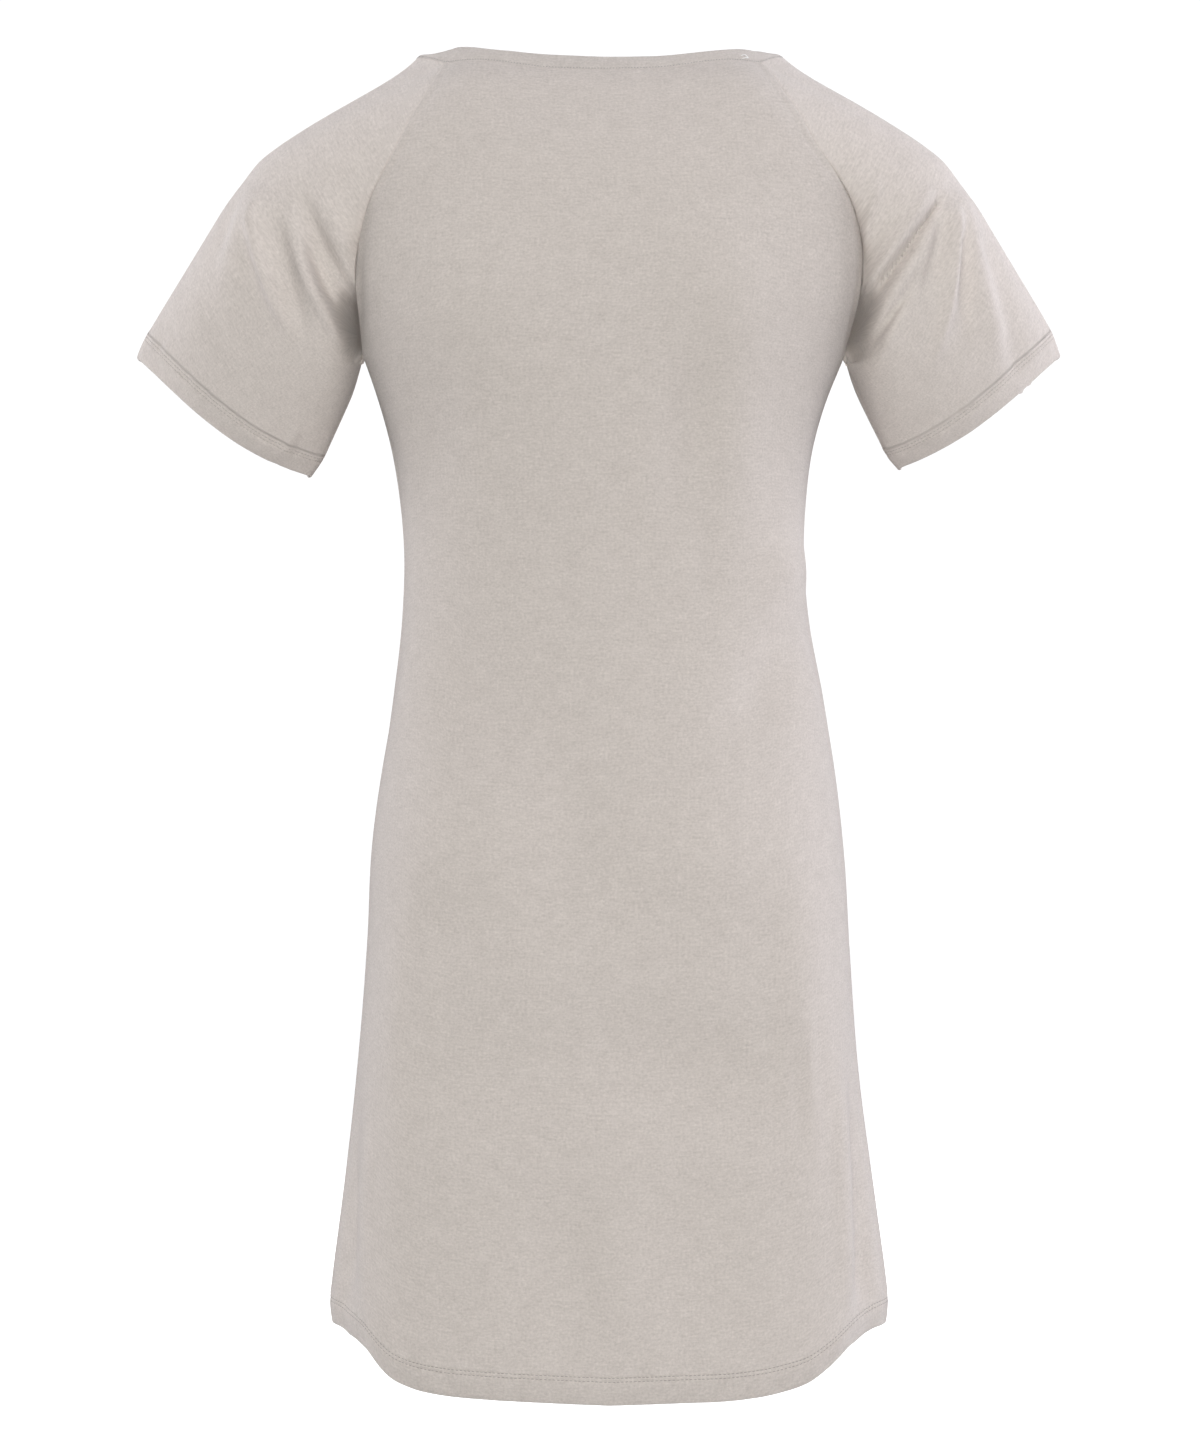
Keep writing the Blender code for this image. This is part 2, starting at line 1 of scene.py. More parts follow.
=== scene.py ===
"""Looks of a short raglan dress in heather cotton jersey, hollow and filled out as if worn.

Metres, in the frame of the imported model: +Z up, the front faces -Y and the wearer's left
is +X. "Down" is a depth below the origin, and a "turn" is an angle in degrees round the
body, from 0 at the left side seam through 90 at the middle of the back. A grid of cloth
has its rows running down and its columns running across or round.
"""

from __future__ import annotations

import logging
from dataclasses import dataclass
from enum import Enum

import bpy
import numpy as np
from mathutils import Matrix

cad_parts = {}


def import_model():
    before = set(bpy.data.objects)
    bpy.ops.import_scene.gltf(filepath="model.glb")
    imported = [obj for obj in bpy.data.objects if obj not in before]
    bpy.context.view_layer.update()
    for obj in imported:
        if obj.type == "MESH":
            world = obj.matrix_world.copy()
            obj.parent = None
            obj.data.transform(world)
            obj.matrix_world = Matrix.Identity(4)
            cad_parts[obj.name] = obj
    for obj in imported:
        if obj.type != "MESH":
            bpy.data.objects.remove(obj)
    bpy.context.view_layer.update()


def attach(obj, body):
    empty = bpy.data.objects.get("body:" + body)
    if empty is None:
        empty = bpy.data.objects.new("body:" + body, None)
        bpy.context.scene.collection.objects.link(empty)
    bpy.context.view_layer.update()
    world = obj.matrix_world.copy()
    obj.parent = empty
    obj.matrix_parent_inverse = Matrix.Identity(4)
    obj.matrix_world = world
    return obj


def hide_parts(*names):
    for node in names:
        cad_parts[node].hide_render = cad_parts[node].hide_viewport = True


Array = np.ndarray
Triple = tuple[float, float, float]
Mesh = bpy.types.Mesh
Piece = bpy.types.Object
Material = bpy.types.Material
Tree = bpy.types.NodeTree
Node = bpy.types.Node
Socket = bpy.types.NodeSocket
Sockets = bpy.types.bpy_prop_collection

LOG = logging.getLogger("dress")
MM = 0.001
TINY = 1e-9
LATTICE_CELLS = 24
LATTICE_SHIFT = 12.37
BOTH_WALLS = 4 * MM
LEAST_GAP = 0.01 * MM
FOLD_ROOM = 0.9
UPRIGHT_REFERENCE = (0.13, 0.21, 0.97)
LEVEL_REFERENCE = (0.13, 0.97, 0.21)
POINTED_END = 0.3
STITCHES_SHARP = 80.0
WHITE = (1.0, 1.0, 1.0, 1.0)


class Face(Enum):
    """The side of the dress that a panel or a crease is on."""

    BACK = 1
    FRONT = -1


class Side(Enum):
    """The wearer's side."""

    LEFT = 1
    RIGHT = -1


class Push(Enum):
    """The way a crease is pressed into the cloth."""

    LEVEL = "straight in from the back or the front"
    SQUARE = "square to the cloth"


def ease(low: float, high: float, value: Array) -> Array:
    """0 at low, 1 at high, and a soft step between."""
    t = np.clip((value - low) / (high - low), 0.0, 1.0)
    return t * t * (3 - 2 * t)


def unit(vectors: Array) -> Array:
    """Vectors of length 1."""
    return vectors / np.maximum(np.linalg.norm(vectors, axis=-1, keepdims=True), 1e-12)


def hermite(start: Array, leave: Array, end: Array, arrive: Array, t: Array) -> Array:
    """A cubic from start to end with the given directions at its two ends."""
    return (
        (2 * t**3 - 3 * t**2 + 1) * start
        + (t**3 - 2 * t**2 + t) * leave
        + (3 * t**2 - 2 * t**3) * end
        + (t**3 - t**2) * arrive
    )


def lengths_along(points: Array, axis: int = 0) -> Array:
    """The length covered by lines of points, from 0 at their start.

    Args:
        points: Points in lines that run along the axis.
        axis: The axis that the lines run along.

    Returns:
        One length for each point.
    """
    steps = np.linalg.norm(np.diff(points, axis=axis), axis=-1)
    pad = [(0, 0)] * steps.ndim
    pad[axis] = (1, 0)
    return np.cumsum(np.pad(steps, pad), axis=axis)


def along_line(line: Array, covered: Array, at: Array) -> Array:
    """The points of a line where it has covered the given lengths."""
    return np.stack([np.interp(at, covered, line[:, axis]) for axis in range(3)], axis=-1)


def joined(line: Array) -> Array:
    """A closed line with its first point again at its end."""
    return np.concatenate([line, line[:1]])


def square_to(vectors: Array, ways: Array) -> Array:
    """Vectors turned to lie square to the given ways, at length 1."""
    return unit(vectors - (vectors * ways).sum(-1, keepdims=True) * ways)


def evened(values: Array, times: int) -> Array:
    """Values round a closed line, each drawn towards its two neighbours some times."""
    for _ in range(times):
        values = (np.roll(values, 1, 0) + 2 * values + np.roll(values, -1, 0)) / 4
    return values


def evened_ways(ways: Array, times: int) -> Array:
    """Directions round a closed line, each drawn towards its two neighbours some times."""
    for _ in range(times):
        ways = unit(evened(ways, 1))
    return ways


def spaced(total: Array, near: Array, far: Array, count: int) -> Array:
    """Distances along lines, close together at their ends and even between.

    Args:
        total: The length of each line.
        near: The first distances, from a line's start.
        far: The last distances, from a line's end.
        count: How many even steps lie between them.

    Returns:
        One row of rising distances for each line.
    """
    total = np.atleast_1d(total)[:, None]
    t = np.linspace(0.0, 1.0, count + 1)[1:-1]
    start, end = near[-1], total - far[-1]
    middle = start + (end - start) * t
    first = np.broadcast_to(near, (len(total), len(near)))
    return np.concatenate([first, middle, total - np.asarray(far)[::-1]], axis=1)


def rumple(points: Array, size: Triple, seed: int) -> Array:
    """Smooth uneven values between -1 and 1 over points in space.

    Args:
        points: The points.
        size: How far apart the swells are along x, y and z.
        seed: Which pattern of swells it is.

    Returns:
        One value for each point.
    """
    lattice = np.random.default_rng(seed).uniform(-1.0, 1.0, (LATTICE_CELLS,) * 3)
    place = points / np.array(size) + LATTICE_SHIFT
    cell = np.floor(place).astype(int)
    t = place - cell
    t = t * t * (3 - 2 * t)
    value = np.zeros(points.shape[:-1])
    for corner in np.ndindex(2, 2, 2):
        weight = np.prod(np.where(np.array(corner) == 1, t, 1 - t), axis=-1)
        i, j, k = np.moveaxis((cell + corner) % LATTICE_CELLS, -1, 0)
        value += weight * lattice[i, j, k]
    return value


@dataclass(frozen=True)
class Table:
    """A short table of sizes, read on a smooth curve by its first column."""

    columns: tuple[str, ...]
    rows: tuple[tuple[float, ...], ...]

    def at(self, column: str, value: Array | float) -> Array:
        """The value of a column wherever the first column has the given value.

        Args:
            column: The column's name.
            value: Values of the first column.

        Returns:
            The column's values there.
        """
        rows = np.array(self.rows)
        x, y = rows[:, 0], rows[:, self.columns.index(column)]
        value = np.clip(value, x[0], x[-1])
        slope = np.gradient(y, x)
        i = np.clip(np.searchsorted(x, value) - 1, 0, len(x) - 2)
        step = x[i + 1] - x[i]
        t = (value - x[i]) / step
        return hermite(y[i], slope[i] * step, y[i + 1], slope[i + 1] * step, t)


def table(columns: str, *rows: tuple[float, ...]) -> Table:
    """A table from its columns' names, with spaces between, and its rows."""
    return Table(tuple(columns.split()), rows)


@dataclass(frozen=True)
class BodyForm:
    """The filled-out body that carries the dress."""

    TURN_STEP = 0.2
    DOWN_STEP = 0.5 * MM

    underarm: float = 0.205
    sections: Table = table(
        "down half_width back front corner sway",
        (0.000, 0.1115, 0.024, 0.026, 2.0, 0.0040),
        (0.004, 0.1170, 0.030, 0.032, 2.0, 0.0040),
        (0.018, 0.1380, 0.049, 0.048, 2.1, 0.0022),
        (0.032, 0.1550, 0.065, 0.061, 2.2, 0.0015),
        (0.055, 0.1730, 0.080, 0.075, 2.3, 0.0015),
        (0.085, 0.1790, 0.094, 0.091, 2.3, 0.0015),
        (0.120, 0.1795, 0.102, 0.109, 2.3, 0.0015),
        (0.165, 0.1745, 0.106, 0.127, 2.3, 0.0015),
        (0.205, 0.1590, 0.105, 0.135, 2.2, 0.0016),
        (0.235, 0.1478, 0.102, 0.135, 2.15, 0.0025),
        (0.265, 0.1395, 0.098, 0.130, 2.1, 0.0026),
        (0.300, 0.1342, 0.094, 0.123, 2.1, 0.0020),
        (0.335, 0.1320, 0.091, 0.115, 2.15, 0.0013),
        (0.380, 0.1345, 0.091, 0.108, 2.2, 0.0002),
        (0.430, 0.1418, 0.097, 0.106, 2.25, -0.0015),
        (0.485, 0.1497, 0.107, 0.109, 2.3, -0.0018),
        (0.540, 0.1556, 0.115, 0.113, 2.45, -0.0014),
        (0.592, 0.1584, 0.121, 0.117, 2.7, -0.0014),
        (0.645, 0.1622, 0.124, 0.121, 2.9, -0.0014),
        (0.700, 0.1680, 0.127, 0.125, 2.95, -0.0014),
        (0.760, 0.1760, 0.130, 0.130, 2.9, -0.0015),
        (0.820, 0.1838, 0.134, 0.135, 2.8, -0.0017),
        (0.880, 0.1895, 0.138, 0.139, 2.7, -0.0018),
    )

    def points(self, turn: Array, down: Array) -> Array:
        """Points on the body at a turn round it and a depth."""
        cosine, sine = np.cos(np.radians(turn)), np.sin(np.radians(turn))
        width = self.sections.at("half_width", down)
        to_back, to_front = self.sections.at("back", down), self.sections.at("front", down)
        depth = np.where(sine >= 0, to_back, to_front)
        corner = self.sections.at("corner", down)
        radius = (abs(cosine / width) ** corner + abs(sine / depth) ** corner) ** (-1 / corner)
        x = self.sections.at("sway", down) + radius * cosine
        return np.stack([x, radius * sine, -down * np.ones_like(x)], axis=-1)

    def normals(self, turn: Array, down: Array) -> Array:
        """The directions out of the body."""
        turned, lower = turn + self.TURN_STEP, down + self.DOWN_STEP
        around = self.points(turned, down) - self.points(turn - self.TURN_STEP, down)
        along = self.points(turn, lower) - self.points(turn, down - self.DOWN_STEP)
        return unit(np.cross(along, around))


@dataclass(frozen=True)
class Crease:
    """A soft crease along a curved line seen from the back or the front.

    It deepens over the first share of its length, "opens", and fades over the last one,
    "closes". Its lean makes it steeper on one side, and a lip rises beside that side. A
    depth below 0 makes a ridge. It is held off seams by its setback. Its path is aside
    and down where it starts, where it bends and where it ends.
    """

    STEPS = 41
    REACH = 3.5
    LIP_REACH = 0.5
    LIP_PLACE = 1.9
    FACING = 0.5

    face: Face
    push: Push
    path: tuple[float, ...]
    width: float
    depth: float
    opens: float = 0.4
    closes: float = 0.4
    lean: float = 0.0
    lip: float = 0.0
    setback: float = 0.006

    def depth_at(self, points: Array, normals: Array, from_seam: Array) -> Array:
        """How far in the crease presses each point.

        Args:
            points: The cloth's points.
            normals: The directions out of the cloth.
            from_seam: How far each point is from a seam.

        Returns:
            One depth for each point.
        """
        x0, down0, x1, down1, x2, down2 = self.path
        start, end = np.array([x0, -down0]), np.array([x2, -down2])
        bend = 4 * (np.array([x1, -down1]) - (start + end) / 2)
        t = np.linspace(0.0, 1.0, self.STEPS)[:, None]
        line = start + t * (end - start) + t * (1 - t) * bend
        across = unit(np.gradient(line, axis=0))[:, ::-1] * np.array([1.0, -1.0])
        flat = points[..., ::2].reshape(-1, 2)
        reach = self.width * (self.REACH * (1 + abs(self.lean)) + self.LIP_REACH * self.lip)
        low, high = line.min(0) - reach, line.max(0) + reach
        near = np.flatnonzero(((flat > low) & (flat < high)).all(-1))
        depth = np.zeros(len(flat))
        away = flat[near, None] - line
        nearest = np.linalg.norm(away, axis=-1).argmin(-1)
        away = away[np.arange(len(near)), nearest]
        beside = (away * across[nearest]).sum(-1)
        signed = np.where(beside >= 0, 1.0, -1.0) * np.linalg.norm(away, axis=-1)
        width = self.width * (1 - self.lean * np.sign(signed))
        shape = np.exp(-((signed / width) ** 2))
        lean_side = 1.0 if self.lean >= 0 else -1.0
        shape -= self.lip * np.exp(-((signed * lean_side / self.width - self.LIP_PLACE) ** 2))
        place = nearest / (self.STEPS - 1)
        fade = ease(0.0, max(self.opens, TINY), place)
        fade *= ease(1.0 + TINY, 1.0 - self.closes, place)
        depth[near] = self.depth * shape * fade
        facing = ease(0.0, self.FACING, normals[..., 1] * self.face.value)
        held = ease(0.0, self.setback, from_seam)
        return depth.reshape(points.shape[:-1]) * facing * held


@dataclass(frozen=True)
class Swell:
    """A soft bulge of the cloth, or a hollow where its height is below 0.

    It is an oval round a place seen from the back or the front, by its half width, its
    half length and the angle in degrees by which it leans to the wearer's left. Its fall
    makes it die away sooner below than above.
    """

    aside: float
    down: float
    wide: float
    long: float
    height: float
    lean: float = 0.0
    fall: float = 0.0

    def height_at(self, points: Array) -> Array:
        """How far it lifts each point."""
        x, down = points[..., 0] - self.aside, -points[..., 2] - self.down
        turn = np.radians(self.lean)
        across = x * np.cos(turn) + down * np.sin(turn)
        along = down * np.cos(turn) - x * np.sin(turn)
        along = along * (1 + self.fall * ease(-0.5 * self.long, 0.5 * self.long, along))
        return self.height * np.exp(-((across / self.wide) ** 2) - (along / self.long) ** 2)


def creases(face: Face, push: Push, *rows: tuple[float, ...]) -> tuple[Crease, ...]:
    """Creases on one side of the dress, from the rows of a short table.

    Args:
        face: The side that they are on.
        push: The way that they are pressed in.
        rows: For each crease the six places of its path, its width and its depth in
            millimetres, then the shares opens, closes, lean and lip, and its setback in
            millimetres, up to the last one that isn't the usual one.

    Returns:
        The creases.
    """
    made = []
    for row in rows:
        path, (width, depth), shares = row[:6], row[6:8], row[8:12]
        setback = (value * MM for value in row[12:])
        path = tuple(value * MM for value in path)
        made.append(Crease(face, push, path, width * MM, depth * MM, *shares, *setback))
    return tuple(made)


def swells(*rows: tuple[float, ...]) -> tuple[Swell, ...]:
    """Swells from rows of aside, down, wide, long and height in millimetres, lean and fall."""
    return tuple(Swell(*(value * MM for value in row[:5]), *row[5:]) for row in rows)


def pressed(points: Array, normals: Array, folds: tuple[Crease, ...], from_seam: Array) -> Array:
    """The cloth's points with creases pressed into them.

    A level crease goes no further in than the room that the cloth leaves behind it.

    Args:
        points: The cloth's points.
        normals: The directions out of the cloth.
        folds: The creases.
        from_seam: How far each point is from a seam.

    Returns:
        The moved points.
    """
    moved = points.copy()
    for crease in folds:
        depth = crease.depth_at(points, normals, from_seam)[..., None]
        if crease.push is Push.LEVEL:
            gap = (moved + points)[..., 1:2] * crease.face.value - BOTH_WALLS
            room = FOLD_ROOM * np.clip(gap, LEAST_GAP, None)
            pressed_in = np.clip(depth, 0.0, None)
            depth = depth - pressed_in + room * (1 - np.exp(-pressed_in / room))
            moved -= depth * np.array([0.0, crease.face.value, 0.0])
        else:
            moved -= depth * normals
    return moved


def grid_normals(points: Array, closed: bool) -> Array:
    """The directions out of a grid, by its neighbouring points."""
    if closed:
        around = np.roll(points, -1, axis=1) - np.roll(points, 1, axis=1)
    else:
        around = np.gradient(points, axis=1)
    return unit(np.cross(around, np.gradient(points, axis=0)))


def add_map(mesh: Mesh, name: str, places: Array) -> None:
    """Gives a mesh a texture map, with one place for each corner of each face."""
    mesh.uv_layers.new(name=name).uv.foreach_set("vector", places.ravel())


def wall_mesh(name: str, outer: Array, inner: Array, closed: bool, maps: dict[str, Array]) -> Mesh:
    """A closed wall of cloth between an outer and an inner grid of points.

    Args:
        name: The mesh's name.
        outer: The outer points.
        inner: The inner points.
        closed: Whether the grid's last column joins its first.
        maps: For each texture map, its name and a place for each corner of the grid.

    Returns:
        The mesh.
    """
    rows, columns = outer.shape[:2]
    wide = columns + closed
    i, j = np.mgrid[0 : rows - 1, 0 : wide - 1]
    a = (i * wide + j).ravel()
    inside = rows * wide
    face = np.stack([a, a + wide, a + wide + 1, a + 1], axis=1)
    top = np.arange(wide - 1)
    last = (rows - 1) * wide + top
    faces = [face, face[:, ::-1] + inside]
    faces.append(np.stack([top + 1, top + 1 + inside, top + inside, top], axis=1))
    faces.append(np.stack([last, last + inside, last + 1 + inside, last + 1], axis=1))
    if not closed:
        start = np.arange(rows - 1) * wide
        end = start + wide - 1
        faces.append(np.stack([start, start + inside, start + wide + inside, start + wide], 1))
        faces.append(np.stack([end + wide, end + wide + inside, end + inside, end], axis=1))
    corners = np.concatenate(faces)
    layer, rest = np.divmod(corners, inside)
    row, column = np.divmod(rest, wide)
    vertices = layer * rows * columns + row * columns + column % columns
    points = np.concatenate([outer.reshape(-1, 3), inner.reshape(-1, 3)])
    mesh = bpy.data.meshes.new(name)
    mesh.from_pydata(points.tolist(), [], vertices.tolist())
    for map_name, places in maps.items():
        flat = places.reshape(-1, 2)
        add_map(mesh, map_name, np.concatenate([flat, flat])[corners.ravel()])
    return mesh


def add_piece(name: str, mesh: Mesh, material: Material, sharp: float = 60.0) -> Piece:
    """Puts a mesh in the scene as a piece that rides on the dress.

    Args:
        name: The piece's name.
        mesh: Its mesh.
        material: Its material.
        sharp: The angle in degrees above which an edge stays sharp.

    Returns:
        The piece.
    """
    mesh.name = name
    mesh.validate()
    mesh.shade_smooth()
    mesh.set_sharp_from_angle(angle=np.radians(sharp))
    mesh.materials.append(material)
    piece = bpy.data.objects.new(name, mesh)
    bpy.context.scene.collection.objects.link(piece)
    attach(piece, "root")
    LOG.info("%s: %d faces", name, len(mesh.polygons))
    return piece


def tube_faces(rings: int, sides: int) -> Array:
    """The faces between rings of points, as four corners each."""
    i, j = np.mgrid[0 : rings - 1, 0:sides]
    k = (j + 1) % sides
    face = [i * sides + j, i * sides + k, (i + 1) * sides + k, (i + 1) * sides + j]
    return np.stack(face, axis=-1).reshape(-1, 4)


def sides_of(path: Array, reference: Triple) -> tuple:
    """Two ways square to a path and to each other, the first square to a reference too."""
    tangent = unit(np.gradient(path, axis=0))
    side = unit(np.cross(tangent, np.array(reference)))
    return side, np.cross(side, tangent)


def tube_mesh(name: str, paths: list[Array], radius: float, sides: int) -> Mesh:
    """Thin round threads along paths, with pointed ends.

    Args:
        name: The mesh's name.
        paths: Lines of points.
        radius: The threads' radius.
        sides: How many sides a thread has.

    Returns:
        One mesh with all threads.
    """
    points, faces, start = [], [], 0
    theta = np.linspace(0.0, 2 * np.pi, sides, endpoint=False)[:, None]
    for path in paths:
        side, up = sides_of(path, UPRIGHT_REFERENCE)
        thick = np.full(len(path), radius)
        thick[[0, -1]] = radius * POINTED_END
        ring = np.cos(theta) * side[:, None] + np.sin(theta) * up[:, None]
        points.append((path[:, None] + ring * thick[:, None, None]).reshape(-1, 3))
        faces += (tube_faces(len(path), sides) + start).tolist()
        faces.append((np.arange(sides)[::-1] + start).tolist())
        faces.append((np.arange(sides) + start + (len(path) - 1) * sides).tolist())
        start += len(path) * sides
    mesh = bpy.data.meshes.new(name)
    mesh.from_pydata(np.concatenate(points).tolist(), [], faces)
    return mesh


@dataclass
class Shell:
    """A piece of cloth as it hangs: its grids of points and what is known at each."""

    name: str
    node: str
    outer: Array
    inner: Array
    normals: Array
    grain: Array
    edge: Array
    closed: bool
    turned: bool

    def seam(self, rows: slice, column: int, further: int) -> tuple[Array, ...]:
        """A seam's line inside the cloth, the ways along the cloth from it and out of it.

        Args:
            rows: The rows of the grid that the line runs over.
            column: The column along the seam.
            further: The column about one allowance away from it.

        Returns:
            The points, the ways along the cloth and the ways out.
        """
        edge = self.inner[rows, column]
        tangent = unit(np.gradient(edge, axis=0))
        inward = square_to(self.inner[rows, further] - edge, tangent)
        return edge, inward, square_to(self.normals[rows, column], inward)

    def row_at(self, from_hem: float) -> int:
        """The row nearest to a distance from the hem."""
        return abs(self.edge[:, 0, 1] - from_hem).argmin()

    def build(self, material: Material) -> Piece:
        """Makes the piece in place of its solid."""
        way = slice(None, None, -1 if self.turned else 1)
        outer, inner = self.outer[:, way], self.inner[:, way]
        if self.closed and self.turned:
            outer, inner = np.roll(outer, 1, axis=1), np.roll(inner, 1, axis=1)
        maps = {"grain": self.grain[:, way], "edge": self.edge[:, way]}
        mesh = wall_mesh(self.name, outer, inner, self.closed, maps)
        piece = add_piece(self.name, mesh, material)
        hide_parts(self.node)
        return piece


def cloth_swell(points: Array) -> Array:
    """The cloth's slight unevenness as it hangs, in metres."""
    wide = rumple(points, (0.085, 0.085, 0.150), 3)
    small = rumple(points, (0.032, 0.032, 0.050), 5)
    return 0.75 * MM * wide + 0.16 * MM * small


def hem_pucker(points: Array, away: Array, row: float, seed: int) -> Array:
    """How far the cloth puffs out between the stitches of a hem, in metres.

    Args:
        points: The cloth's points.
        away: Their distance from the folded edge.
        row: The distance of the lower row of stitches from it.
        seed: Which pattern it is.

    Returns:
        The height of each point.
    """
    fine = rumple(points, (0.0085, 0.0085, 0.016), seed + 20)
    slack = rumple(points, (0.022, 0.022, 0.040), seed + 40)
    fold_share = 0.4 + 0.6 * ease(0.0, 6 * MM, away)
    below = fold_share * ease(row + 0.5 * MM, row - 3 * MM, away)
    above = np.exp(-(((away - row - 4 * MM) / (3.5 * MM)) ** 2))
    return (0.60 * MM * fine + 0.55 * MM * slack) * below + 0.40 * MM * fine * above


@dataclass(frozen=True)
class Hem:
    """A turned hem: how deep it is, and how far its two rows of stitches are from its fold."""

    depth: float
    rows: tuple[float, float]


@dataclass(frozen=True)
class Sewing:
    """Sizes of the cloth, its seams and its hems, shared by the cut pieces."""

    cloth: float = 1.5 * MM
    hem_cloth: float = 2.7 * MM
    body: Hem = Hem(18.0 * MM, (17.3 * MM, 14.9 * MM))
    cuff: Hem = Hem(17.0 * MM, (16.3 * MM, 13.9 * MM))
    fold_radius: float = 1.3 * MM
    hem_lean: float = 3.0 * MM
    seam_depth: float = 1.45 * MM
    seam_reach: float = 1.15 * MM
    lip: float = 0.85 * MM
    lip_at: float = 2.2 * MM
    groove: float = 0.70 * MM
    groove_at: float = 6.4 * MM
    groove_reach: float = 2.64 * MM
    roll_reach: float = 17.0 * MM
    stitch_depth: float = 0.32 * MM
    stitch_reach: float = 0.5 * MM
    gap: float = 0.04 * MM
    seam_blend: float = 5.0 * MM
    hem_calm: float = 0.6
    hem_calm_from: float = 30.0 * MM
    seam_columns: tuple[float, ...] = (0.0, 0.3 * MM, 0.8 * MM, 1.5 * MM, 2.5 * MM, 4.2 * MM)

    def seam_dip(self, away: Array, lipped: bool) -> Array:
        """How deep the cloth rolls in beside a seam.

        Args:
            away: The distance from the seam.
            lipped: Whether the seam's allowance lies under this side and lifts it.

        Returns:
            The depth, below 0 where the cloth is lifted.
        """
        dip = self.seam_depth * np.exp(-away / self.seam_reach)
        if lipped:
            dip -= self.lip * np.exp(-(((away - self.lip_at) / self.lip_at) ** 2))
            dip += self.groove * np.exp(-(((away - self.groove_at) / self.groove_reach) ** 2))
        return dip

    def fold_inset(self, away: Array) -> Array:
        """How far a turned hem's face curves in beside its folded edge."""
        reach = np.clip(self.fold_radius - away, 0.0, self.fold_radius)
        return self.fold_radius - np.sqrt(self.fold_radius**2 - reach**2)

    def roll(self, away: Array) -> Array:
        """How far the turned hem leans in below its stitches."""
        return self.hem_lean * np.clip(1 - away / self.roll_reach, 0.0, 1.0) ** 1.5

    def hem_rows(self, hem: Hem) -> Array:
        """Distances of the grid's rows by a turned hem from its folded edge, rising."""
        upper, lower = hem.rows
        fold = self.fold_radius * np.array([0.0, 0.1, 0.3, 0.6, 1.0])
        flat = np.arange(3.2 * MM, lower - 1.2 * MM, 2.1 * MM)
        sewn = np.array([-0.6, 0.0, 0.6]) * MM
        step = hem.depth + np.array([-0.3, 0.0, 0.05, 1.2, 3.2, 5.6, 8.4]) * MM
        rows = np.concatenate([fold, flat, lower + sewn, upper + sewn[:2], step])
        return np.unique(rows.round(6))

    def stitch_dip(self, away: Array, hem: Hem) -> Array:
        """How deep the two rows of stitches pull the cloth in."""
        dip = sum(np.exp(-(((away - row) / self.stitch_reach) ** 2)) for row in hem.rows)
        return self.stitch_depth * dip

    def rumpled(self, points: Array, normals: Array, away: Array) -> Array:
        """Points with the cloth's slight unevenness, which is calmer by the folded edge."""
        calm = 1 - self.hem_calm * ease(self.hem_calm_from, 0.0, away)
        return points + normals * (cloth_swell(points) * calm)[..., None]

    def walls(
        self, points: Array, normals: Array, away: Array, dip: Array, hem: Hem, seed: int
    ) -> tuple[Array, Array]:
        """The outer and inner faces of a piece of cloth with a turned and stitched hem.

        Args:
            points: The cloth's points as it hangs.
            normals: The directions out of it.
            away: Their distances from the folded edge.
            dip: How deep its seams roll in.
            hem: The hem.
            seed: Which unevenness it has.

        Returns:
            The outer and the inner points.
        """
        pucker = hem_pucker(points, away, hem.rows[1], seed)
        inset, lean = self.fold_inset(away), self.roll(away)
        outer_in = dip + self.stitch_dip(away, hem) - pucker + inset + lean
        thick = np.where(away <= hem.depth + TINY, self.hem_cloth, self.cloth)
        inner_in = thick - inset - pucker + lean
        inner_in = np.broadcast_to(inner_in, points.shape[:-1])
        outer = points - normals * outer_in[..., None]
        return outer, points - normals * inner_in[..., None]


